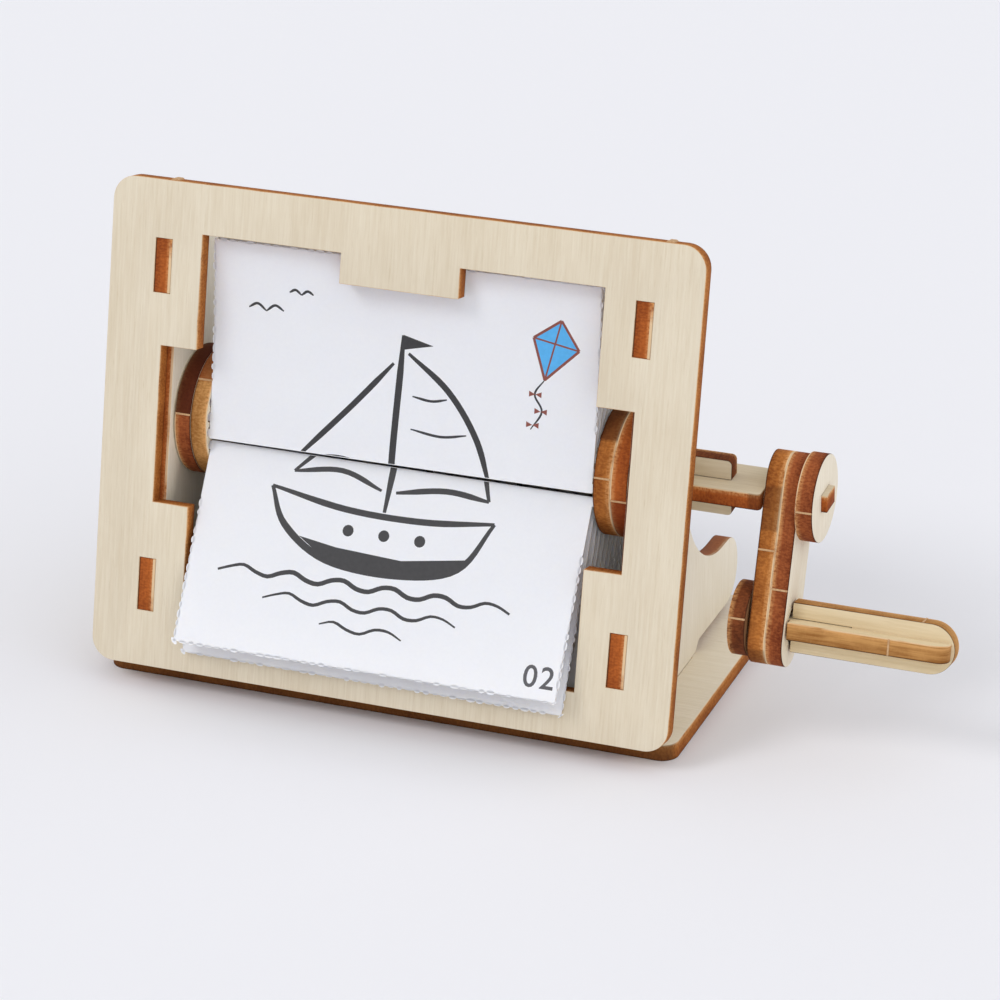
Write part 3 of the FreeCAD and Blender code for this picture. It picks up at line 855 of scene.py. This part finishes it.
@dataclass(frozen=True)
class Stroke:
    """A pen line through points of the picture, in millimetres from its middle."""

    points: tuple[Point, ...]
    width: float = 1.0
    curved: bool = True
    ink: Ink = Ink.BLACK
    steps: int = 7              # to each span of a curved line
    tip: float = 0.5            # the ends' share of the width
    swell: float = 2.2          # how fast the width grows from the ends

    def line(self) -> list[Vector]:
        """The points that the pen passes, rounded where the stroke is curved.

        Returns:
            The points, in millimetres, from one tip to the other.
        """
        spots = [Vector(point) for point in self.points]
        if not self.curved:
            return spots
        ends = [2 * spots[0] - spots[1], *spots, 2 * spots[-1] - spots[-2]]
        made = []
        for at in range(1, len(ends) - 2):
            before, start, stop, after = ends[at - 1:at + 3]
            for step in range(self.steps):
                t = step / self.steps
                made.append(
                    0.5 * (2 * start + (stop - before) * t
                           + (2 * before - 5 * start + 4 * stop - after) * t ** 2
                           + (3 * start - before - 3 * stop + after) * t ** 3))
        return made + [spots[-1]]

    def patches(self) -> list[Patch]:
        """The triangles that the stroke inks, wide in its middle and thin at its tips.

        Returns:
            The triangles' corners, in millimetres.
        """
        line = self.line()
        last = len(line) - 1
        pairs = []
        for at, spot in enumerate(line):
            way = (line[min(at + 1, last)] - line[max(at - 1, 0)]).normalized()
            share = min(1.0, self.tip + self.swell * min(at, last - at) / last)
            reach = Vector((-way.y, way.x)) * 0.5 * self.width * share
            pairs.append((spot + reach, spot - reach))
        made = []
        for (left, right), (next_left, next_right) in zip(pairs, pairs[1:]):
            made += [[left, right, next_left], [right, next_right, next_left]]
        return made


@dataclass(frozen=True)
class SailingPicture:
    """A small boat on a swell under a kite, drawn once for each card so that it rocks."""

    sway: float = 3.0               # degrees that the boat rocks each way
    pivot: Point = (0.0, -12.0)     # mm
    swell: float = 0.72             # mm, half the height of a wave
    wave_length: float = 9.0        # mm
    wave_points: int = 4            # to a wave
    sea_level: float = -20.0        # mm, of the uppermost line of waves
    sea_step: float = 3.6           # mm from one line down to the next
    drift: float = 1.6              # mm that the kite wanders each way

    def shapes(self, number: int) -> list[tuple[Ink, Patch]]:
        """Draws one picture.

        Args:
            number: the picture's place in the series.

        Returns:
            The inked polygons, in millimetres from the picture's middle.
        """
        phase = 2 * math.pi * number / CARD_COUNT
        made = []
        rocked = Matrix.Rotation(math.radians(self.sway) * math.sin(phase), 2)
        pivot = Vector(self.pivot)
        for ink, patch in self.boat():
            made.append((ink, [rocked @ (spot - pivot) + pivot for spot in patch]))
        shift = Vector((math.cos(phase), math.sin(2 * phase))) * self.drift
        for ink, patch in self.kite():
            made.append((ink, [spot + shift for spot in patch]))
        return made + self.inked(self.sea(phase) + self.gulls())

    def inked(self, strokes: list[Stroke]) -> list[tuple[Ink, Patch]]:
        """Turns strokes into inked polygons."""
        return [(stroke.ink, patch) for stroke in strokes for patch in stroke.patches()]

    def boat(self) -> list[tuple[Ink, Patch]]:
        """The hull, its mast, boom and two sails, and the dark band along the keel.

        Returns:
            The inked polygons.
        """
        strokes = [
            Stroke(((-22.0, -5.2), (-18.5, -11.5), (-10.0, -16.4), (3.0, -17.2),
                    (13.5, -14.6), (18.5, -6.2)), 1.25),
            Stroke(((-22.0, -5.2), (-8.0, -7.4), (6.0, -7.6), (18.5, -6.2)), 1.1),
            Stroke(((-1.2, -7.0), (-0.8, 7.0), (0.0, 21.4)), 1.2),
            Stroke(((1.0, 18.4), (8.4, 12.8), (13.8, 5.4), (16.8, -2.6)), 1.1),
            Stroke(((16.8, -2.6), (9.0, -1.9), (0.2, -3.4)), 1.0),
            Stroke(((-1.6, 16.4), (-9.0, 8.0), (-18.6, -2.2)), 1.0),
            Stroke(((-18.6, -2.2), (-10.0, -1.0), (-2.4, -3.4)), 0.9),
            Stroke(((2.0, 11.2), (5.4, 10.8), (8.2, 11.4)), 0.45),
            Stroke(((2.0, 5.6), (7.4, 5.0), (12.0, 5.8)), 0.45),
        ]
        keel = [(-15.6, -13.0), (-10.0, -16.4), (-3.6, -17.3), (3.0, -17.2), (8.8, -16.5),
                (13.4, -14.6), (14.8, -12.8), (3.4, -14.6), (-8.6, -14.0)]
        flag = [(0.0, 21.5), (5.4, 20.2), (-0.1, 18.9)]
        ports = [self.disc(Vector((x, -10.9)), 1.0) for x in (-7.0, -0.5, 6.0)]
        solid = [[Vector(spot) for spot in corners] for corners in (keel, flag)] + ports
        return self.inked(strokes) + [(Ink.BLACK, patch) for patch in solid]

    def disc(self, centre: Vector, radius: float, corners: int = 14) -> Patch:
        """A round patch of ink."""
        turns = [2 * math.pi * at / corners for at in range(corners)]
        return [centre + radius * Vector((math.cos(turn), math.sin(turn))) for turn in turns]

    def kite(self) -> list[tuple[Ink, Patch]]:
        """A blue kite with dark red spars and a tail of bows.

        Returns:
            The inked polygons.
        """
        top, right, foot, left = (
            Vector(spot) for spot in ((26.2, 27.4), (29.4, 22.6), (23.6, 17.0), (21.4, 24.0)))
        sides = [top, right, foot, left]
        strokes = [Stroke((tuple(start), tuple(stop)), 0.45, False, Ink.MADDER, tip=1.0)
                   for start, stop in zip(sides, sides[1:] + sides[:1])]
        strokes += [
            Stroke((tuple(top), tuple(foot)), 0.3, False, Ink.MADDER, tip=1.0),
            Stroke((tuple(left), tuple(right)), 0.3, False, Ink.MADDER, tip=1.0),
            Stroke((tuple(foot), (22.0, 14.4), (23.4, 11.6), (21.6, 8.4)), 0.35),
        ]
        bows = []
        for x, y in ((22.1, 14.4), (23.2, 11.6), (21.9, 9.2)):
            bows.append([Vector(spot) for spot in (
                (x - 1.1, y + 0.5), (x, y), (x + 1.1, y + 0.5), (x + 1.1, y - 0.5), (x, y),
                (x - 1.1, y - 0.5))])
        made = [(Ink.BLUE, sides)] + [(Ink.MADDER, half) for bow in bows
                                      for half in (bow[1:2] + bow[5:] + bow[:1], bow[1:4])]
        return made + self.inked(strokes)

    def sea(self, phase: float) -> list[Stroke]:
        """Three lines of swell below the hull, which travel from card to card.

        Args:
            phase: the card's place in the turn, in radians.

        Returns:
            The pen lines.
        """
        made = []
        for row, (start, stop, width) in enumerate(
                ((-29.0, 24.0, 0.8), (-20.0, 15.0, 0.6), (-9.0, 6.0, 0.5))):
            level = self.sea_level - self.sea_step * row
            count = int((stop - start) / self.wave_length * self.wave_points)
            points = []
            for at in range(count + 1):
                x = start + (stop - start) * at / count
                turn = 2 * math.pi * x / self.wave_length + phase * (row + 1)
                points.append((x, level + self.swell * math.sin(turn)))
            made.append(Stroke(tuple(points), width, steps=3))
        return made

    def gulls(self) -> list[Stroke]:
        """Two far gulls, each of two bent wings.

        Returns:
            The pen lines.
        """
        made = []
        for x, y, span in ((-25.0, 22.5, 3.2), (-18.6, 26.0, 2.2)):
            for side in (-1, 1):
                made.append(Stroke(((x, y), (x + side * 0.5 * span, y + 0.35 * span),
                                    (x + side * span, y + 0.1 * span)), 0.45))
        return made


@dataclass
class Numeral:
    """A card's plain number, printed at the lower right of the picture."""

    height: float = 3.7                     # mm
    corner: Point = (28.2, -31.9)           # mm, its lower left
    boldness: float = 0.010                 # share of the height that thickens a stem
    spacing: float = 1.14                   # of the digits, against the usual
    roundness: int = 4                      # points to a curve of a digit

    def patches(self, number: int) -> list[Patch]:
        """The number's polygons, in millimetres from the picture's middle.

        Args:
            number: the number, printed with two digits.

        Returns:
            Its triangles and quadrilaterals.
        """
        text = bpy.data.curves.new("numeral", "FONT")
        text.body = f"{number:02d}"
        text.offset = self.boldness
        text.space_character = self.spacing
        text.resolution_u = self.roundness
        holder = bpy.data.objects.new("numeral", text)
        mesh = bpy.data.meshes.new_from_object(holder)
        scale = self.height / max(vertex.co.y for vertex in mesh.vertices)
        start = Vector(self.corner)
        made = [[start + scale * mesh.vertices[at].co.xy for at in face.vertices]
                for face in mesh.polygons]
        bpy.data.objects.remove(holder)
        bpy.data.curves.remove(text)
        bpy.data.meshes.remove(mesh)
        return made


@dataclass
class TornEdge:
    """The small teeth left along a card's edges where it was torn from its sheet."""

    pitch: float = 1.6          # mm between teeth
    width: float = 1.25         # mm of a tooth along the edge
    reach: float = 0.36         # mm that a tooth stands out
    thickness: float = 0.13     # mm, a little less than the paper
    corners: int = 8
    least: tuple[float, float, float] = (0.7, 0.15, 1.0)    # of a tooth's width, reach, height
    most: tuple[float, float, float] = (1.3, 1.0, 1.0)

    def tree(self) -> bpy.types.NodeTree:
        """Builds the geometry nodes that set teeth along a line.

        Returns:
            The nodes' tree.
        """
        made = bpy.data.node_groups.new("torn_edge", "GeometryNodeTree")
        face = made.interface
        for name, kind in (("Line", "Geometry"), ("Pitch", "Float"), ("Tooth Width", "Float"),
                           ("Tooth Reach", "Float"), ("Thickness", "Float"),
                           ("Seed", "Int"), ("Paper", "Material")):
            face.new_socket(name, in_out="INPUT", socket_type=f"NodeSocket{kind}")
        face.new_socket("Teeth", in_out="OUTPUT", socket_type="NodeSocketGeometry")
        given = add_node(made, "NodeGroupInput").outputs
        curve = add_node(made, "GeometryNodeMeshToCurve", {0: given["Line"]})
        spots = add_node(made, "GeometryNodeResampleCurve", {
            "Curve": curve.outputs[0], "Length": given["Pitch"]}, mode="LENGTH")
        radius = add_node(made, "ShaderNodeMath", {0: given["Tooth Width"], 1: 0.5},
                          operation="MULTIPLY")
        tooth = add_node(made, "GeometryNodeMeshCylinder", {
            "Vertices": self.corners, "Radius": radius.outputs[0],
            "Depth": given["Thickness"]})
        flat = add_node(made, "ShaderNodeMath", {
            0: given["Tooth Reach"], 1: radius.outputs[0]}, operation="DIVIDE")
        shape = add_node(made, "ShaderNodeCombineXYZ", {0: 1.0, 1: flat.outputs[0], 2: 1.0})
        chance = add_node(made, "FunctionNodeRandomValue", {
            0: self.least, 1: self.most, "Seed": given["Seed"]},
            data_type="FLOAT_VECTOR")
        scale = add_node(made, "ShaderNodeVectorMath", {
            0: shape.outputs[0], 1: chance.outputs[0]}, operation="MULTIPLY")
        tangent = add_node(made, "GeometryNodeInputTangent")
        turn = add_node(made, "FunctionNodeAlignRotationToVector", {
            "Vector": tangent.outputs[0]}, axis="X", pivot_axis="Z")
        placed = add_node(made, "GeometryNodeInstanceOnPoints", {
            "Points": spots.outputs[0], "Instance": tooth.outputs[0],
            "Rotation": turn.outputs[0], "Scale": scale.outputs[0]})
        real = add_node(made, "GeometryNodeRealizeInstances", {0: placed.outputs[0]})
        dressed = add_node(made, "GeometryNodeSetMaterial", {
            "Geometry": real.outputs[0], "Material": given["Paper"]})
        add_node(made, "NodeGroupOutput", {"Teeth": dressed.outputs[0]})
        return made

    def teeth(self, tree: bpy.types.NodeTree, line: list[Point], seed: int,
              paper: bpy.types.Material) -> bpy.types.Mesh:
        """Sets teeth along a line and returns them as a plain mesh.

        Args:
            tree: the geometry nodes.
            line: the edge's corners on the flat card, in millimetres.
            seed: for the teeth's chance sizes.
            paper: their material.

        Returns:
            The teeth, on the flat card, in metres.
        """
        mesh = bpy.data.meshes.new("edge_line")
        spots = [(x * MM, y * MM, 0.0) for x, y in line]
        mesh.from_pydata(spots, [(at, at + 1) for at in range(len(spots) - 1)], [])
        holder = bpy.data.objects.new("edge_line", mesh)
        bpy.context.scene.collection.objects.link(holder)
        modifier = holder.modifiers.new("teeth", "NODES")
        modifier.node_group = tree
        values = {"Pitch": self.pitch * MM, "Tooth Width": self.width * MM,
                  "Tooth Reach": self.reach * MM, "Thickness": self.thickness * MM,
                  "Seed": seed, "Paper": paper}
        for item in tree.interface.items_tree:
            if item.in_out == "INPUT" and item.name in values:
                modifier[item.identifier] = values[item.name]
        evaluated = holder.evaluated_get(bpy.context.evaluated_depsgraph_get())
        made = bpy.data.meshes.new_from_object(evaluated)
        bpy.data.objects.remove(holder)
        bpy.data.meshes.remove(mesh)
        return made


def clipped(patch: Patch, low: float, high: float) -> Patch:
    """Cuts a polygon off below and above two levels.

    Args:
        patch: the polygon's corners.
        low: the lower level.
        high: the upper level.

    Returns:
        The corners of what lies between, or an empty list.
    """
    for level, keep in ((low, 1), (high, -1)):
        made = []
        for start, stop in zip(patch, patch[1:] + patch[:1]):
            inside, next_inside = keep * (start.y - level) >= 0, keep * (stop.y - level) >= 0
            if inside:
                made.append(start)
            if inside != next_inside:
                made.append(start.lerp(stop, (level - start.y) / (stop.y - start.y)))
        patch = made
        if not patch:
            break
    return patch


def holds(patch: Patch, spot: Vector) -> bool:
    """Tells whether a polygon holds a point, by counting the sides to the point's right.

    Args:
        patch: the polygon's corners.
        spot: the point.

    Returns:
        True where it does.
    """
    inside = False
    for start, stop in zip(patch, patch[1:] + patch[:1]):
        if (start.y > spot.y) != (stop.y > spot.y):
            share = (spot.y - start.y) / (stop.y - start.y)
            if spot.x < start.x + share * (stop.x - start.x):
                inside = not inside
    return inside


def anticlockwise(patch: Patch) -> Patch:
    """Orders a polygon's corners anticlockwise, and drops one with next to no area.

    Args:
        patch: the polygon's corners.

    Returns:
        The corners in that order, or an empty list.
    """
    area = 0.5 * sum(start.x * stop.y - stop.x * start.y
                     for start, stop in zip(patch, patch[1:] + patch[:1]))
    if abs(area) < SMALLEST_PATCH:
        return []
    return patch if area > 0 else patch[::-1]


@dataclass
class FlipCard:
    """One paper card with its two lugs, its torn edges and a half picture on each side."""

    index: int
    half_width: float = 34.55       # mm, without its teeth
    drum_half_width: float = 34.65  # mm, between the discs, where the edge is smooth
    shift: float = -0.2             # mm along the axle, towards the drum's left end
    drum_zone: float = 9.0          # mm from the lugs' centre
    reach: float = 33.94            # mm from the lugs' centre, without its teeth
    lug_end: float = 37.65          # mm
    lug_half: float = 0.75          # mm
    hem: float = 0.87               # mm from the lugs' centre to the edge between the lugs
    askew: float = 0.0              # degrees that it stands out of square with the drum
    skew: float = 0.0               # mm that its free edge runs out at the left
    thickness: float = 0.15         # mm
    cell: float = 2.9               # mm between the points that let the sheet bend
    margin: float = 0.5             # mm left bare along the edges
    hem_margin: float = 0.1         # mm, the same between the lugs
    teeth_start: float = 1.0        # mm beyond the drum
    number_lead: int = 3            # from the card's place to the number on its back
    curl: float = 0.15              # mm that the free edge stands off a flat card
    sag: float = 0.0                # mm that the middle hangs back
    ripple: float = 0.06            # mm
    ripple_turn: float = 0.11       # radians to a mm along the axle
    ripple_start: float = 1.7       # radians from one card to the next

    def name(self) -> str:
        """The card's node."""
        return f"card_{self.index:02d}"

    def placing(self) -> Matrix:
        """The turn and shift that take the flat card to its place.

        Returns:
            The matrix, for a card that lies flat with its hinge at the origin.
        """
        joint = next(row for row in frame["joints"]
                     if row["name"] == f"flap_{self.index:02d}_swing")
        hinge = Vector(joint["pos_m"])
        spots = [vertex.co - hinge for vertex in frame["nodes"][self.name()].data.vertices]
        for spot in spots:
            spot.x = 0.0
        farthest = max(spot.length for spot in spots)
        ends = [spot for spot in spots if spot.length > FREE_EDGE * farthest]
        along = sum(ends, Vector()).normalized()
        front = ALONG.cross(along)
        turn = Matrix((ALONG, along, front)).transposed().to_4x4()
        askew = Matrix.Rotation(math.radians(self.askew), 4, "Z")
        start = Vector((self.shift * MM, hinge.y, hinge.z))
        return Matrix.Translation(start) @ turn @ askew

    def outline(self) -> list[Vector]:
        """The flat card's outline, anticlockwise, with points close enough to bend.

        Returns:
            The points, in millimetres from the hinge.
        """
        wide, drum, end = self.half_width, self.drum_half_width, self.lug_end
        lug, zone = self.lug_half, self.drum_zone
        right = [(drum, -self.hem), (drum, -lug), (end, -lug), (end, lug), (drum, lug),
                 (drum, zone), (wide, zone + drum - wide), (wide, self.reach)]
        corners = right + [(-x, v) for x, v in reversed(right)]
        made = []
        for start, stop in zip(corners, corners[1:] + corners[:1]):
            start, stop = Vector(start), Vector(stop)
            count = max(1, round((stop - start).length / self.cell))
            made += [start.lerp(stop, at / count) for at in range(count)]
        return made

    def bend(self, x: float, v: float) -> float:
        """How far the paper stands off flat, in millimetres.

        Args:
            x: the place along the axle, in millimetres.
            v: the place out from the hinge, in millimetres.

        Returns:
            The height towards the card's front.
        """
        out = v / self.reach
        turn = self.ripple_turn * x + self.ripple_start * self.index
        wave = math.sin(turn) * math.sin(math.pi * max(out, 0.0))
        hang = self.sag * math.sin(math.pi * min(max(out, 0.0), 1.0))
        return self.curl * out ** 2 - hang + self.ripple * wave

    def side(self, shapes: list[tuple[Ink, Patch]], flip: float
             ) -> tuple[list[Vector], list[tuple[tuple[int, ...], int]]]:
        """Cuts one face of the card into bare and inked triangles.

        Args:
            shapes: the inked polygons, in millimetres from the picture's middle.
            flip: 1 where the picture's top is at the free edge, and -1 where its foot is.

        Returns:
            The points on the flat card, and each triangle with its material's number.
        """
        outline = self.outline()
        low, high = self.hem_margin - self.hem, self.reach - self.margin
        wide = self.half_width - self.margin
        points = list(outline)
        polygons = [tuple(range(len(outline)))]
        inks = [0]
        for ink, patch in shapes:
            flat = [Vector((spot.x, spot.y * flip)) for spot in patch]
            cut = anticlockwise(clipped(flat, low, high))
            if not cut or max(abs(spot.x) for spot in cut) > wide:
                continue
            polygons.append(tuple(range(len(points), len(points) + len(cut))))
            points += cut
            inks.append(1 + list(Ink).index(ink))
        columns = round(2 * self.half_width / self.cell)
        rows = round(self.reach / self.cell)
        for row in range(1, rows):
            for column in range(1, columns):
                x = self.half_width * (2 * column / columns - 1)
                points.append(Vector((x, self.reach * row / rows)))
        spots, _, faces, _, _, owners = delaunay_2d_cdt(points, [], polygons, 1, 1e-5)
        made = []
        for face, owned in zip(faces, owners):
            centre = sum((spots[at] for at in face), Vector((0, 0))) / len(face)
            inked = [inks[owner] for owner in owned
                     if owner == 0 or holds([points[at] for at in polygons[owner]], centre)]
            if inked:
                made.append((tuple(face), max(inked)))
        return spots, made

    def build(self, picture: SailingPicture, numeral: Numeral, torn: TornEdge,
              tree: bpy.types.NodeTree, materials: list[bpy.types.Material]) -> None:
        """Makes the card, which stands for its solid.

        Args:
            picture: the series of pictures.
            numeral: the card's number.
            torn: the teeth along its edges.
            tree: the teeth's geometry nodes.
            materials: the paper's, the inks' and the cut edge's, in that order.
        """
        placing = self.placing()
        after = (self.index + 1) % CARD_COUNT
        front, back = picture.shapes(self.index), picture.shapes(after)
        number = (self.index + self.number_lead - 1) % CARD_COUNT + 1
        back += [(Ink.GREY, patch) for patch in numeral.patches(number)]
        shell = bmesh.new()
        edges = []
        for shapes, flip, level in ((front, 1.0, 0.5), (back, -1.0, -0.5)):
            spots, faces = self.side(shapes, flip)
            verts = [shell.verts.new((spot.x * MM, spot.y * MM, level * self.thickness * MM))
                     for spot in spots]
            for corners, slot in faces:
                order = corners if level > 0 else tuple(reversed(corners))
                shell.faces.new([verts[at] for at in order]).material_index = slot
            edges.append(verts[:len(self.outline())])
        upper, lower = edges
        for at, start in enumerate(upper):
            after = (at + 1) % len(upper)
            rim = shell.faces.new((upper[after], start, lower[at], lower[after]))
            rim.material_index = len(materials) - 1
        start = self.drum_zone + self.teeth_start
        line = [(-self.half_width, start), (-self.half_width, self.reach),
                (self.half_width, self.reach), (self.half_width, start)]
        teeth = torn.teeth(tree, line, SEED + self.index, materials[0])
        sheet_faces = len(shell.faces)
        shell.from_mesh(teeth)
        bpy.data.meshes.remove(teeth)
        shell.faces.ensure_lookup_table()
        for face in shell.faces[sheet_faces:]:
            face.material_index = 0
        for vertex in shell.verts:
            across, out = vertex.co.x / MM, vertex.co.y / MM
            vertex.co.z += self.bend(across, out) * MM
            vertex.co.y -= self.skew * MM * across / self.half_width * out / self.reach
        bmesh.ops.transform(shell, matrix=placing, verts=shell.verts)
        piece = new_piece(f"{self.name()}_paper", shell, materials)
        body = f"flap_{self.index:02d}"
        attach(piece, body)
        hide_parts(self.name())
        report(piece, body)


@dataclass
class CardDeck:
    """The ring of cards: one shown, one behind it, a fan, some hanging, the last fallen."""

    picture: SailingPicture = field(default_factory=SailingPicture)
    numeral: Numeral = field(default_factory=Numeral)
    torn: TornEdge = field(default_factory=TornEdge)
    fan: range = range(2, 12)
    fan_curl: float = 0.6           # mm, of the cards that stand free at the back
    shown: range = range(0, 2)      # the card behind the window and the next
    shown_sag: float = 0.8          # mm
    askew: dict[int, float] = field(default_factory=lambda: {0: 0.25})      # degrees
    skew: dict[int, float] = field(default_factory=lambda: {23: 0.15})      # mm

    def build(self) -> None:
        """Makes every card."""
        tree = self.torn.tree()
        materials = [CardPaper().material()] + [Toner(ink).material() for ink in Ink]
        materials.append(SINGED_PAPER.material())
        for index in range(CARD_COUNT):
            card = FlipCard(index, askew=self.askew.get(index, 0.0),
                            skew=self.skew.get(index, 0.0))
            if index in self.fan:
                card.curl = self.fan_curl
            if index in self.shown:
                card.curl, card.sag = 0.0, self.shown_sag
            card.build(self.picture, self.numeral, self.torn, tree, materials)


# ---------------------------------------------------------------- studio


@dataclass(frozen=True)
class Lamp:
    """A far, broad lamp."""

    name: str
    energy: float
    softness: float         # degrees across
    side: float             # degrees to the object's right of its front
    up: float               # degrees above the table

    def hang(self) -> None:
        """Adds the lamp to the scene."""
        data = bpy.data.lights.new(self.name, "SUN")
        data.energy = self.energy
        data.angle = math.radians(self.softness)
        holder = bpy.data.objects.new(self.name, data)
        toward = heading(self.side, self.up)
        holder.rotation_euler = toward.to_track_quat("Z", "Y").to_euler()
        bpy.context.scene.collection.objects.link(holder)


@dataclass
class Studio:
    """A pale table under soft light, and the camera."""

    camera_place: Vector = field(default_factory=lambda: Vector((229.2, -568.2, 298.6)) * MM)
    azimuth: float = 21.102         # degrees, of the camera to the object's right
    elevation: float = 23.886
    roll: float = 0.258
    lens: float = 138.54            # mm
    sensor: float = 36.0            # mm
    sight: float = 100.0            # metres that the camera sees
    table: str = "#F2F2F6"
    table_size: float = 12.0        # metres
    room: str = "#FBFCFF"
    sky: float = 0.64               # the room's brightness on the object
    backdrop: float = 0.89          # the same, as the camera sees it
    lamps: tuple[Lamp, ...] = (
        Lamp("key", energy=0.7, softness=22.0, side=-40.0, up=45.0),
        Lamp("fill", energy=1.1, softness=120.0, side=72.0, up=28.0))

    def build(self) -> None:
        """Sets out the table, the lights and the camera."""
        self.set_table()
        self.light()
        self.set_camera()
        bpy.context.scene.view_settings.view_transform = "Standard"

    def set_table(self) -> None:
        """Lays a matt, pale table under the object."""
        shell = bmesh.new()
        bmesh.ops.create_grid(shell, x_segments=2, y_segments=2, size=0.5 * self.table_size)
        made, tree = empty_material("matt_laminate")
        close_tree(tree, {"Base Color": linear(self.table), "Roughness": 0.9,
                          "Specular IOR Level": 0.1})
        piece = new_piece("table", shell, [made])

    def light(self) -> None:
        """Hangs the lamps in an even room that looks as pale as the table."""
        world = bpy.data.worlds.new("room")
        world.use_nodes = True
        room = world.node_tree.nodes["Background"]
        room.inputs["Color"].default_value = linear(self.room)
        seen = add_node(world.node_tree, "ShaderNodeLightPath").outputs["Is Camera Ray"]
        strength = add_node(world.node_tree, "ShaderNodeMix", {
            0: seen, 2: self.sky, 3: self.backdrop})
        world.node_tree.links.new(strength.outputs[0], room.inputs["Strength"])
        bpy.context.scene.world = world
        for lamp in self.lamps:
            lamp.hang()

    def set_camera(self) -> None:
        """Points the camera down at the object from its right."""
        turn, roll = math.radians(self.azimuth), math.radians(self.roll)
        ahead = -heading(self.azimuth, self.elevation)
        level = Vector((math.cos(turn), math.sin(turn), 0))
        down = ahead.cross(level)
        right = level * math.cos(roll) + down * math.sin(roll)
        up = level * math.sin(roll) - down * math.cos(roll)
        data = bpy.data.cameras.new("camera")
        data.lens = self.lens
        data.sensor_width = self.sensor
        data.clip_end = self.sight
        holder = bpy.data.objects.new("camera", data)
        turned = Matrix((right, up, -ahead)).transposed().to_4x4()
        holder.matrix_world = Matrix.Translation(self.camera_place) @ turned
        bpy.context.scene.collection.objects.link(holder)
        bpy.context.scene.camera = holder


def main() -> None:
    """Builds the studio and the object's sub-assemblies, in order."""
    logging.basicConfig(level=logging.INFO, format="%(message)s")
    Studio().build()
    torn = TORN_WOOD.material()
    Housing().build(torn)
    DrumAndCrank().build(torn)
    Handle().build(torn)
    CardDeck().build()


if __name__ == "__main__":
    main()
